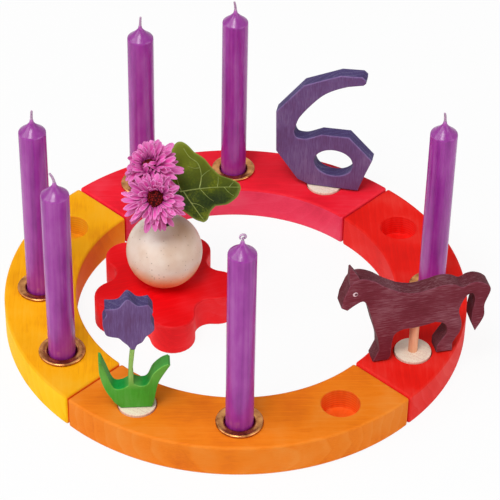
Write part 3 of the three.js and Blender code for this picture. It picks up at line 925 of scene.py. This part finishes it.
horsePlan = {
    "thickness": 9.2,
    "edge": 0.65,
    "turn": 12.1,
    "earThickness": 4,
    "earEdge": 0.4,
    "earInset": 0.3,
    "eye": (-33.8, 46.9),
    "eyeRadius": 1.3,
    "eyeThickness": 0.3,
    "eyeEdge": 0.1,
    "eyeSunk": 0.24,
    "eyeParts": {  # share of the eye's radius, shift, how far it stands out, paint
        "White": (1, 0, 0, (244, 214, 220)),
        "Dark": (0.62, 0.38, 0.05, (92, 34, 46)),
    },
    "eyeShade": (124, 89, 97),
    "outline": [
        (-22.5, 0), (-14.6, 0), (-13.2, 2.1), (-12.9, 10.8),
        [(-11.6, 16.4), (-7.4, 18.8), (-1.7, 18.9), (5.1, 19.8), (9.5, 20.8)],
        [(14.4, 18.6), (16.1, 13.2), (13.8, 8.7), (11.2, 4.2)],
        (11.2, 0), (19.6, 0), (19.4, 4.8),
        [(21.3, 8.8), (23.2, 12.6), (23.4, 18.4), (21.6, 25.5), (22.4, 30.2)],
        [(24.3, 34.4), (26.4, 36.5), (28.6, 35.6), (29.4, 31), (28.6, 24), (28.6, 17.5)],
        (31, 11),
        [(35.1, 20), (34.9, 28), (37.4, 37.2), (34.8, 41.4), (30, 43.6), (26, 43.2)],
        [(22.4, 41.5), (18, 43.8), (12, 44.6), (5, 43), (-3, 42), (-10.5, 44)],
        [(-18, 48.6), (-24, 53.2), (-30, 55.8), (-34.6, 55.4)],
        (-36.9, 51.8), (-39.7, 44), (-40.4, 38.6), (-37.4, 36.6),
        [(-33.2, 39.7), (-29.6, 41.2), (-27.4, 38.6), (-25.4, 32.6), (-23.2, 24)],
        [(-20.3, 14), (-19.6, 7.2)],
    ],
    "ear": [(-36.2, 50.5), (-30.8, 53), (-32.6, 58), (-36.2, 63.4), (-37, 63.2), (-37.2, 57)],
}

figureStains = {  # stain, and the painted highlight on its rounded edges
    "violetFace": ((110, 82, 132), (144, 120, 168)),
    "violetSawn": ((73, 61, 107), (136, 124, 170)),
    "plumFace": ((117, 42, 56), (136, 76, 92)),
    "plumSawn": ((92, 38, 47), (132, 84, 98)),
    "greenFace": ((74, 164, 46), (134, 194, 94)),
    "greenSawn": ((0, 152, 54), (80, 182, 84)),
}


def figureWood(key, place, turn, **details):
    stain, edgeHighlightTint = figureStains[key]
    return stainedWood(key, stain, place, turn, edgeHighlight=0.8, edgeHighlightTone=edgeHighlightTint, **details)


def ovalLoop(middle, reach, count):
    spots = []
    for i in range(count):
        turn = 2 * pi * i / count
        spots.append((middle[0] + reach[0] * cos(turn), middle[1] + reach[1] * sin(turn)))
    return [spots[0], spots[1:] + spots[:1]]


def figurePlace(plug, node, turn):  # the middle of its foot, and how it stands on the plug
    foot = (*middleOf(plug), heightsOf(node)[0])
    return foot, upright(*foot, turn) @ Matrix.Rotation(pi / 2, 4, "X")


def addSawn(name, loops, plan, place, body, node, slotName, finishes):
    board = sawnBoard(loops, plan["thickness"], plan["edge"])
    addPiece(name, board, place, body, [node], slotName, finishes, 30, True)


def addSix():
    plan = sixPlan
    foot, place = figurePlace("six_plug", "number_six", plan["turn"])
    hole = ovalLoop(plan["counterMiddle"], plan["counterReach"], plan["counterSpots"])
    grain = (0, 90, plan["turn"])
    finishes = [figureWood("violetFace", foot, grain, fibre=0.6, contrast=1.3, fineness=1.3),
                figureWood("violetSawn", foot, grain, fibre=0.6, rings=0.4, contrast=1.6)]
    addSawn("numberSix", [plan["outline"], hole], plan, place, "number_figure", "number_six",
            "violet_stained_wood", finishes)
    return finishes


def stemFade(place):  # the wood's own x runs down the figure and its z across
    plan = flowerPlan
    axes = addNode("SeparateXYZ", {"Vector": place}).outputs
    height = ranged(axes["X"], -plan["fadeStart"], -plan["fadeStart"] - plan["fadeLength"])
    aside = maths("ABSOLUTE", maths("SUBTRACT", axes["Z"], plan["stemMiddle"]))
    stem = ranged(aside, plan["stemReach"] + 1, plan["stemReach"] - 1, plan["tipFade"])
    return times(height, stem)


def addFlower(violet):
    plan = flowerPlan
    foot, place = figurePlace("flower_plug", "flower_leaves", plan["turn"])
    fade = {"stain": plan["stemStain"], "share": stemFade}
    green = [figureWood(key, foot, (0, 90, plan["turn"]), fade=fade) for key in ("greenFace", "greenSawn")]
    addSawn("flowerLeaves", [plan["leaves"]], plan, place, "blossom_figure", "flower_leaves",
            "green_stained_wood", green)
    addSawn("flowerHead", [plan["head"]], plan, place, "blossom_figure", "flower_head",
            "violet_stained_wood", violet)


def paintFinish(name, tint):
    finish, place = newFinish(name)
    brush = noise(place, 2.0, 2.0)
    colour = mottled(brush, 0.4, 0.7, tint, horsePlan["eyeShade"], 0.3)
    return shaded(finish, {"Base Color": colour, "Roughness": 0.5})


def addHorse():
    plan = horsePlan
    foot, place = figurePlace("horse_plug", "horse_body", plan["turn"])
    where = ("pony_figure", ["horse_body"], "plum_stained_wood")
    finishes = [figureWood(key, foot, (0, 0, plan["turn"]), fibre=1.0, contrast=1.6, fineness=1.15)
                for key in ("plumFace", "plumSawn")]
    board = sawnBoard([plan["outline"]], plan["thickness"], plan["edge"])
    addPiece("horseBody", board, place, *where, finishes, 30, True)
    ear = sawnBoard([plan["ear"]], plan["earThickness"], plan["earEdge"])
    near = (plan["thickness"] - plan["earThickness"]) / 2 - plan["earInset"]
    moved(ear, 0, 0, near)
    addPiece("horseEar", ear, place, *where, finishes, 30, True)
    paints = {name: paintFinish(f"eye{name}", tint) for name, (*_, tint) in plan["eyeParts"].items()}
    for sideName, side in (("Near", 1), ("Far", -1)):
        for name, (share, aside, proud, _) in plan["eyeParts"].items():
            bm = rodShape(plan["eyeRadius"] * share, 0, plan["eyeThickness"], plan["eyeEdge"], 24)
            bmesh.ops.scale(bm, vec=(1, 1, side), verts=bm.verts)
            facesOut(bm)
            lift = side * (plan["thickness"] / 2 - plan["eyeSunk"] + proud)
            moved(bm, plan["eye"][0] + aside, plan["eye"][1], lift)
            addPiece(f"horseEye{name}{sideName}", bm, place, *where, [paints[name]])


violetWoods = addSix()
addFlower(violetWoods)
addHorse()
print("stage: figures")


# Stand and vase

standPlan = {
    "thickness": 18.5,
    "edge": 1.4,
    "lobeReach": 39.8,
    "lobeRadius": 11.9,
    "lobeSpots": 14,
    "valleyRadius": 8.7,
    "valleySpots": 8,
    "lobeCount": 5,
    "lobeTurn": -81,
    "topStain": (234, 6, 16),
    # the sides lighter than the top: painted light on the standing faces
    "litSideColour": (254, 34, 42),
    # painted highlight on the rounded edges
    "edgeHighlightColour": (240, 70, 74),
}

vasePlan = {
    "radius": 20,
    "wall": 3,
    "foot": 5.5,
    "footSlope": 0.6,
    "footHollow": 0.5,
    "mouth": 5,
    "arcParts": (40, 30),  # of the outside and of the inside
    "rimOut": (-0.3, 0.2, 0.25),  # across and up from the outside's end, rounding
    "rimIn": (0, 1.2, 0.8),  # the same from the inside's end
    "glaze": (244, 232, 218),
    "warmGlaze": (224, 198, 174),
    # painted bounce light from the red stand
    "paintedBounceGlaze": (250, 186, 104),
    # painted shadow of the blooms
    "paintedShadowGlaze": (176, 124, 78),
    "speck": (150, 118, 92),
    "dust": (170, 142, 118),
}


def arcSpots(x, y, radius, start, end, count):
    return [(x + radius * cos(start + (end - start) * i / count),
             y + radius * sin(start + (end - start) * i / count)) for i in range(count + 1)]


def standLoop():
    plan = standPlan
    lobeCentre = plan["lobeReach"] - plan["lobeRadius"]
    step = 2 * pi / plan["lobeCount"]
    aside = lobeCentre * sin(step / 2)
    apart = sqrt((plan["lobeRadius"] + plan["valleyRadius"]) ** 2 - aside ** 2)
    valleyCentre = lobeCentre * cos(step / 2) + apart
    lean = atan2(aside, apart)
    loop = []
    for lobe in range(plan["lobeCount"]):
        along = radians(plan["lobeTurn"]) + lobe * step
        between = along + step / 2
        lobeEnd = step / 2 + lean
        loop += arcSpots(lobeCentre * cos(along), lobeCentre * sin(along), plan["lobeRadius"],
                         along - lobeEnd, along + lobeEnd, plan["lobeSpots"])[:-1]
        loop += arcSpots(valleyCentre * cos(between), valleyCentre * sin(between),
                         plan["valleyRadius"], between + pi + lean, between + pi - lean,
                         plan["valleySpots"])[:-1]
    return loop


def glazeFinish(middle):
    plan = vasePlan
    radius = plan["radius"]
    finish, place = newFinish("speckledGlaze", middle)
    axes = addNode("SeparateXYZ", {"Vector": place}).outputs
    colour = mottled(noise(place, 0.07), 0.35, 0.7, plan["glaze"], plan["warmGlaze"])
    # warmer towards the foot: painted bounce light from the red stand
    bounceShare = times(ranged(axes["Z"], 0.0, -0.45 * radius), 0.75)
    colour = mixed(bounceShare, colour, plan["paintedBounceGlaze"])
    # browner on the upper right near the mouth: painted shadow of the blooms
    shadowHeight = ranged(axes["Z"], 0.4 * radius, 0.85 * radius)
    aside = ranged(axes["X"], -0.4 * radius, 0.4 * radius, high=0.75)
    colour = mixed(times(shadowHeight, aside), colour, plan["paintedShadowGlaze"])
    colour = mottled(noise(place, 2.6, 2.0), 0.64, 0.76, colour, plan["dust"], 0.2)
    specks = addNode("TexVoronoi", {"Vector": place, "Scale": 0.8, "Randomness": 1.0}).outputs
    rare = ramped(addNode("SeparateColor", {0: specks["Color"]}).outputs[0], (0.8, 0.0), (0.9, 1.0))
    dot = ramped(specks["Distance"], (0.18, 1.0), (0.34, 0.0))
    return shaded(finish, {
        "Base Color": mixed(times(times(rare, dot), 0.62), colour, plan["speck"]),
        "Roughness": 0.42,
        "Coat Weight": 0.2,
        "Coat Roughness": 0.25,
        "Normal": bumped(noise(place, 0.3, 4.0), 0.3, 0.3),
    })


def vaseLine(floor, centre):  # up the outside, over the rim and down the inside
    plan = vasePlan
    radius, inside = plan["radius"], plan["radius"] - plan["wall"]
    foot, mouth = plan["foot"], plan["mouth"]
    outerParts, innerParts = plan["arcParts"]
    outer = arcSpots(0, centre, radius, -acos(foot / radius), acos(mouth / radius), outerParts)
    inner = arcSpots(0, centre, inside, acos(mouth / inside), -acos(foot / inside), innerParts)
    corners = []
    for (x, z), (across, up, rounding) in zip((outer[-1], inner[0]), (plan["rimOut"], plan["rimIn"])):
        corners.append((x + across, z + up, rounding))
    rim = softened([(*outer[-1], 0), *corners, (*inner[0], 0)])
    hollow = foot - 1 - plan["footSlope"]
    under = [(0, floor + plan["footHollow"]), (hollow, floor + plan["footHollow"]), (foot - 1, floor)]
    return [Vector(spot) for spot in [*under, *outer, *rim[1:-1], *inner, (0, inner[-1][1])]]


def addStandAndVase():
    x, y = middleOf("ball_vase")
    plan = standPlan
    board = sawnBoard([standLoop()], plan["thickness"], plan["edge"], 2, 4)
    grain = {"pith": (0, 50, -30), "ringWidth": 4, "edgeHighlightTone": plan["edgeHighlightColour"], "roughness": 0.5}
    finishes = [stainedWood("standTop", plan["topStain"], (x, y, 0), (0, 0, 20), **grain),
                stainedWood("standSide", plan["litSideColour"], (x, y, 0), (0, 0, 20), **grain)]
    addPiece("flowerStand", board, upright(x, y, plan["thickness"] / 2), "stand", ["flower_stand"],
             "red_stained_wood", finishes, even=True)
    plan = vasePlan
    floor = heightsOf("ball_vase")[0]
    centre = floor + sqrt(plan["radius"] ** 2 - plan["foot"] ** 2)
    addPiece("ballVase", spun(vaseLine(floor, centre), 96), upright(x, y), "vase", ["ball_vase"],
             "speckled_glaze", [glazeFinish((x, y, centre))], 50)


addStandAndVase()
print("stage: stand and vase")


# Flowers and ivy in the vase: places are from the vase's axis, heights above its rim

bloomPlan = {
    "discRadius": 4.3,
    "discFlat": 0.5,
    "discLift": 0.4,
    "petalThickness": 0.35,
    "petalRoot": 0.38,  # share of its width at the root
    "petalFull": 0.68,  # share of its length where it is widest
    "petalTip": (0.7, 0.31),  # share of its length where the end rounds off, and how fast
    "petalEnd": 0.2,  # share of its width at the very end
    "layers": [  # petals, root radius, length, width, rise at the tip, dip, cup
        (25, 4.4, 11.6, 3.1, 0.4, 1.2, 0.45),
        (24, 4.3, 10.6, 2.9, 3.2, 1.6, 0.5),
        (21, 4.1, 8.7, 2.6, 5.8, 1.2, 0.6),
        (18, 3.9, 6.2, 2.2, 7.0, 0.6, 0.65),
        (15, 3.7, 3.4, 1.7, 5.0, -0.4, 0.6),
    ],
    "bentIn": (9, 4.6, 4.4, 1.9, 4, 0.5, 0.5),  # as in a layer, for the petals over the upper disc
    "layerShift": 0.37,  # of a petal's place, from one layer to the next
    "spread": {  # how far single petals differ
        "turn": (-0.7, 0.7),
        "length": (0.7, 1.06),
        "width": (0.7, 1.15),
        "rise": (-2.4, 2.4),
        "dip": (-0.3, 2.1),
        "roll": (-1.0, 1.0),
        "sway": (-1.5, 1.5),
    },
    "bentSpread": {
        "length": (0.6, 1.1),
        "width": (0.8, 1.2),
        "rise": (0.7, 1.2),
        "roll": (-0.8, 0.8),
        "sway": (-1, 1),
    },
    "firstSeed": 4,
    "stemEnd": 2.5,  # behind the bloom's middle
    "calyx": [(0, -2.6, 0), (2.2, -2.6, 0.4), (3.8, -1.4, 0.5), (3.4, -0.8, 0.2), (0, -0.8, 0)],
    "petal": (236, 70, 178),
    "petalDeep": (146, 10, 108),
    "petalPale": (255, 184, 236),
    "disc": (156, 36, 30),
    "discDeep": (50, 4, 8),
    "blooms": {
        "upper": {"middle": (-7.4, 4.6, 33.6), "facing": (-0.24, -0.58, 0.78), "mouth": (-2.6, 1),
                  "fullTowards": -40, "full": 0.3, "discStretch": (0.9, 0.75), "covered": (-190, 10)},
        "lower": {"middle": (-4.2, -13, 26.3), "facing": (0.02, -0.86, 0.5), "mouth": (-1.8, -3),
                  "fullTowards": -105, "full": 0.28, "discStretch": (1, 1.3), "covered": None},
    },
}

ivyPlan = {
    "hub": (9, 8.4, 13.5),
    "facing": (0.12, -0.68, 0.72),
    "along": (1, 0.02, 0),
    "mouth": (0.6, 3.5),
    "thickness": 0.5,
    "heart": (5, 3),  # the middle of the leaf's rings of faces
    "rings": 11,
    "rimParts": 6,
    "droop": (0.0022, 0.0016),  # along and across, away from the crown
    "crown": (8, 4),
    "fold": 0.05,
    "foldLine": 0.8,
    "foldSpan": (12, 26),  # its middle and how far it reaches
    "ripple": 0.35,
    "waves": ((0.42, 0.8), (0.36, -0.4)),  # along and across: radians in a millimetre and at the hub
    "lift": 0.6,  # of the leaf's face above the hub
    "stalkEnd": (0.9, 3),  # under the hub and along the leaf
    "outline": [
        (-1, 0), [(-4.2, -3), (-3.2, -7.4), (2.3, -11.2), (6.9, -14.5), (11.4, -16.1)],
        [(13.4, -14.6), (15.1, -10.4), (17.8, -7.4)],
        [(21, -7), (24.7, -6.1), (29.4, -2.3), (31.3, 1.9)],
        [(30.2, 4.7), (25.8, 7), (20.2, 8.9), (15.7, 13.1), (12, 17.4), (6.8, 20.9)],
        [(3.7, 24.2), (0.5, 26.2), (-2.6, 25.4), (-6, 20), (-7.5, 13), (-5.5, 5)],
    ],
    "veins": [
        [(-0.6, 0), (9.4, 1.5), (19, 2.4), (30.4, 2.6)],
        [(9.4, 1.5), (10.4, 8.1), (8.7, 14.6), (4.1, 18.4), (1.4, 22.6)],
        [(1, 0.2), (5, -6), (9, -11.6), (11.6, -15.2)],
        [(0, 0), (-2.4, 7), (-3.4, 14)],
        [(10.3, 7.6), (12.6, 9.8), (15.2, 11.5)],
        [(18.7, 2.4), (19.2, 5.2), (19.3, 8.1)],
        [(9.6, 1.5), (13.5, -2.7), (16.8, -5)],
        [(22.5, 2.4), (24.8, -0.3), (27.4, -2)],
        [(5, -6), (8.6, -6.8), (11.6, -8.6)],
        [(9.9, 12.4), (6.6, 12.2), (3.4, 13.4)],
        [(25, 2.5), (26.2, 4), (27.4, 5.2)],
    ],
    "veinWidths": [0.34] * 3 + [0.2] * 8,
    "veinTaper": 0.6,
    "leaf": (54, 68, 16),
    "leafDeep": (34, 46, 14),
    "leafPale": (114, 124, 22),
    "vein": (152, 164, 76),
}

stemPlan = {
    "radius": 1.1,
    "stalkRadius": 0.8,
    "taper": 0.2,
    "aim": 5,  # from its end back to where it already points its last way
    "stem": (96, 138, 60),
    "stemShade": (72, 112, 44),
    "stalk": (92, 112, 50),
    "stalkShade": (70, 86, 38),
    "veinShade": (110, 126, 58),
}


def petalFinish():
    plan = bloomPlan
    finish, place = newFinish("pinkPetal")
    along, across, tone = [attribute(finish, name) for name in ("along", "across", "tone")]
    colour = mottled(along, 0.05, 0.6, plan["petalDeep"], plan["petal"])
    rimmed = times(maths("POWER", across, 1.8), 0.85)
    tipped = times(ramped(along, (0.55, 0.0), (1.0, 1.0)), 0.7)
    speckle = ramped(noise(place, 1.2), (0.3, 0.5), (0.7, 1.0))
    pale = times(maths("MAXIMUM", rimmed, tipped), speckle)
    pale = times(pale, ramped(along, (0.1, 0.0), (0.45, 1.0)))
    colour = mixed(pale, colour, plan["petalPale"])
    return shaded(finish, {
        "Base Color": mixed(times(tone, 0.35), colour, plan["petalDeep"]),
        "Roughness": 0.5,
        "Subsurface Weight": 0.12,
        "Subsurface Radius": (1.0, 0.3, 0.7),
        "Subsurface Scale": 0.8 * mm,
        "Normal": bumped(noise(place, 2.2, 2.0), 0.4, 0.12),
    })


def plainGreen(name, tint, other, scale=0.4):
    finish, place = newFinish(name)
    cloud = noise(place, scale, 4.0)
    return shaded(finish, {
        "Base Color": mottled(cloud, 0.35, 0.7, tint, other),
        "Roughness": 0.42,
        "Normal": bumped(cloud, 0.4, 0.2),
    })


def discFinish():
    finish, place = newFinish("bloomDisc")
    cells = addNode("TexVoronoi", {"Vector": place, "Scale": 1.1}).outputs["Distance"]
    return shaded(finish, {
        "Base Color": mottled(cells, 0.1, 0.6, bloomPlan["disc"], bloomPlan["discDeep"]),
        "Roughness": 0.7,
        "Specular IOR Level": 0.1,
        "Normal": bumped(cells, 0.8, 0.4, invert=True),
    })


def addPetal(bm, layers, root, length, width, rise, dip, cup, turn, roll, sway, tone):
    plan = bloomPlan
    slim, full, last = plan["petalRoot"], plan["petalFull"], plan["petalEnd"]
    tipStart, tipLength = plan["petalTip"]
    dots = bmesh.ops.create_grid(bm, x_segments=8, y_segments=4, size=0.5)["verts"]
    for vert in dots:
        share = vert.co.x + 0.5
        aside = 2 * vert.co.y
        grow = slim + (1 - slim) * sin(pi / 2 * min(1, share / full))
        close = sqrt(max(0.0, 1 - max(0, (share - tipStart) / tipLength) ** 2))
        half = width / 2 * grow * max(close, last)
        bend = cup * (aside * aside - 0.4) + roll * aside * share
        height = rise * share - dip * share ** 2 * 1.6 + half * bend
        for layer, value in zip(layers, (share, abs(aside), tone)):
            vert[layer] = value
        vert.co = Vector((root + length * share, aside * half + sway * share ** 2, height))
    bmesh.ops.rotate(bm, matrix=Matrix.Rotation(turn, 3, "Z"), verts=dots)
    return list({face for vert in dots for face in vert.link_faces})


def bloomShape(seed, bloom):
    plan = bloomPlan
    draw = random.Random(seed)

    def drawn(part, spread="spread"):
        return draw.uniform(*plan[spread][part])

    bm = bmesh.new()
    layers = [bm.verts.layers.float.new(name) for name in ("along", "across", "tone")]
    faces = []
    for level, (count, root, length, width, rise, dip, cup) in enumerate(plan["layers"]):
        for i in range(count):
            turn = 2 * pi * (i + plan["layerShift"] * level + drawn("turn")) / count
            grown = 1 + bloom["full"] * cos(turn - radians(bloom["fullTowards"]))
            faces += addPetal(bm, layers, root, length * grown * drawn("length"), width * drawn("width"),
                              rise + drawn("rise"), dip * drawn("dip"), cup, turn, drawn("roll"),
                              drawn("sway"), draw.random())
    if bloom["covered"]:  # petals that bend in over the disc
        low, high = bloom["covered"]
        count, root, length, width, rise, dip, cup = plan["bentIn"]
        for i in range(count):
            turn = radians(low + (high - low) * (i + draw.uniform(0, 1)) / count)
            parts = ("length", "width", "rise", "roll", "sway")
            long, wide, raised, roll, sway = [drawn(part, "bentSpread") for part in parts]
            faces += addPetal(bm, layers, root, -length * long, width * wide, rise * raised,
                              dip, cup, turn, roll, sway, draw.random())
    bmesh.ops.recalc_face_normals(bm, faces=faces)
    bm.normal_update()
    bmesh.ops.solidify(bm, geom=faces, thickness=plan["petalThickness"])
    return bm


def discShape(stretch):
    plan = bloomPlan
    bm = bmesh.new()
    bmesh.ops.create_uvsphere(bm, u_segments=28, v_segments=14, radius=plan["discRadius"])
    bmesh.ops.scale(bm, vec=(*stretch, plan["discFlat"]), verts=bm.verts)
    moved(bm, 0, 0, plan["discLift"])
    return bm


def calyxShape():
    return spun(softened(bloomPlan["calyx"]), 20)


def stemSpots(mouth, end, arrival):
    rim = heightsOf("ball_vase")[1]
    bottom = heightsOf("stem_upper")[0]
    return smoothLine([(*mouth, bottom), (*mouth, (bottom + rim) / 2), (*mouth, rim + 1),
                       end - arrival * stemPlan["aim"], end])


def inBouquet(spot):  # from the vase's axis and rim to the ring's frame
    return Vector(spot) + Vector((*middleOf("ball_vase"), heightsOf("ball_vase")[1]))


def addBouquetPiece(name, bm, place, node, slotName, finish):
    addPiece(name, bm, place, "bouquet", [node], slotName, [finish], 60)


def addStem(name, mouth, end, arrival, node, finish, radius):
    bm = swept(stemSpots(mouth, end, arrival), lambda share: radius * (1 - stemPlan["taper"] * share), 12)
    addBouquetPiece(name, bm, upright(*middleOf("ball_vase")), node, "plant_stem", finish)


def addBlooms():
    plan = bloomPlan
    petals, disc = petalFinish(), discFinish()
    stem = plainGreen("plantStem", stemPlan["stem"], stemPlan["stemShade"])
    rim = Vector((0, 0, heightsOf("ball_vase")[1]))
    for seed, (name, bloom) in enumerate(plan["blooms"].items(), plan["firstSeed"]):
        facing = Vector(bloom["facing"]).normalized()
        turn = Vector((0, 0, 1)).rotation_difference(facing).to_matrix().to_4x4()
        place = Matrix.Translation(inBouquet(bloom["middle"])) @ turn
        node = f"bloom_{name}"
        for part, bm, slotName, finish in (
            ("Petals", bloomShape(seed, bloom), "pink_petals", petals),
            ("Disc", discShape(bloom["discStretch"]), "pink_petals", disc),
            ("Calyx", calyxShape(), "plant_stem", stem),
        ):
            addBouquetPiece(f"{name}Bloom{part}", bm, place, node, slotName, finish)
        end = Vector(bloom["middle"]) + rim - facing * plan["stemEnd"]
        addStem(f"{name}Stem", bloom["mouth"], end, facing, f"stem_{name}", stem, stemPlan["radius"])


def leafLift(x, y):  # the leaf's face bends down towards its tips and between its veins
    plan = ivyPlan
    along, across = plan["droop"]
    crownX, crownY = plan["crown"]
    droop = -along * (x - crownX) ** 2 - across * (y - crownY) ** 2
    middle, reach = plan["foldSpan"]
    fold = plan["fold"] * abs(y - plan["foldLine"]) * max(0, 1 - abs(x - middle) / reach)
    (rateX, startX), (rateY, startY) = plan["waves"]
    return droop + fold + plan["ripple"] * sin(rateX * x + startX) * sin(rateY * y + startY)


def leafShape():
    plan = ivyPlan
    knots = knotsOf(plan["outline"])
    rim = []
    for i, (spot, _, after) in enumerate(knots):
        nextSpot, before, _ = knots[(i + 1) % len(knots)]
        rim += interpolate_bezier(spot, after, before, nextSpot, plan["rimParts"] + 1)[:-1]
    heart = Vector(plan["heart"])
    bm = bmesh.new()
    rimLayer = bm.verts.layers.float.new("rim")
    ring = bmesh.ops.create_circle(bm, cap_ends=True, segments=len(rim), radius=1)["verts"]
    places = {vert: Vector(spot[:2]) for vert, spot in zip(ring, rim)}
    lid = ring[0].link_faces[0]
    face = lid
    rings = plan["rings"]
    for level in range(rings):
        outer = set(face.verts)
        face = extruded(bm, [face, *face.edges, *face.verts])[1][0]
        share = (rings - level) / (rings + 1)
        for vert in face.verts:
            beside = [side.other_vert(vert) for side in vert.link_edges]
            partner = next(dot for dot in beside if dot in outer)
            whole = (places[partner] - heart) * (rings + 1) / (rings - level + 1)
            places[vert] = heart + whole * share
    bmesh.ops.delete(bm, geom=[lid], context="FACES_ONLY")
    hub = bmesh.ops.poke(bm, faces=[face])["verts"][0]
    places[hub] = heart
    edge = set(ring)
    for vert, spot in places.items():
        vert.co = Vector((spot.x, spot.y, leafLift(*spot)))
        vert[rimLayer] = 1 if vert in edge else 0
    under, _ = extruded(bm, list(bm.faces))
    bmesh.ops.translate(bm, vec=(0, 0, -plan["thickness"]), verts=under)
    facesOut(bm)
    return bm


def leafFinish():
    plan = ivyPlan
    finish, place = newFinish("ivyLeaf")
    fine = noise(place, 1.1, 4.0)
    tone = maths("MULTIPLY_ADD", fine, 0.35, times(noise(place, 0.11, 4.0), 0.65))
    colour = ramped(tone, (0.36, plan["leafDeep"]), (0.5, plan["leaf"]), (0.68, plan["leafPale"]))
    across = addNode("SeparateXYZ", {"Vector": place}).outputs["Y"]
    colour = mixed(ranged(across, 15, 30, high=0.65), colour, plan["leafPale"])
    colour = mixed(ranged(across, 4, -12, high=0.65), colour, plan["leafDeep"])
    return shaded(finish, {
        "Base Color": mixed(times(attribute(finish, "rim"), 0.5), colour, plan["vein"]),
        "Roughness": 0.55,
        "Specular IOR Level": 0.1,
        "Normal": bumped(fine, 0.4, 0.2),
    })


def veinShape():
    plan = ivyPlan
    bm = None
    for vein, width in zip(plan["veins"], plan["veinWidths"]):
        flat = smoothLine([(*spot, 0) for spot in vein], 5)
        line = [Vector((spot.x, spot.y, leafLift(spot.x, spot.y) + 0.02)) for spot in flat]
        bm = swept(line, lambda share: width * (1 - plan["veinTaper"] * share), 6, bm=bm)
    return bm


def addIvy():
    plan = ivyPlan
    facing = Vector(plan["facing"]).normalized()
    along = Vector(plan["along"])
    along = (along - facing * along.dot(facing)).normalized()
    turn = Matrix((along, facing.cross(along), facing)).transposed().to_4x4()
    place = Matrix.Translation(inBouquet(plan["hub"]) + facing * plan["lift"]) @ turn
    addBouquetPiece("ivyLeaf", leafShape(), place, "ivy_leaf", "ivy_green", leafFinish())
    veinPaint = plainGreen("ivyVein", plan["vein"], stemPlan["veinShade"], 0.5)
    addBouquetPiece("ivyVeins", veinShape(), place, "ivy_leaf", "ivy_green", veinPaint)
    under, out = plan["stalkEnd"]
    end = Vector(plan["hub"]) + Vector((0, 0, heightsOf("ball_vase")[1])) - facing * under + along * out
    stalk = plainGreen("ivyStalk", stemPlan["stalk"], stemPlan["stalkShade"])
    addStem("ivyStalk", plan["mouth"], end, along, "ivy_stalk", stalk, stemPlan["stalkRadius"])


addBlooms()
addIvy()
print("stage: flowers and ivy")
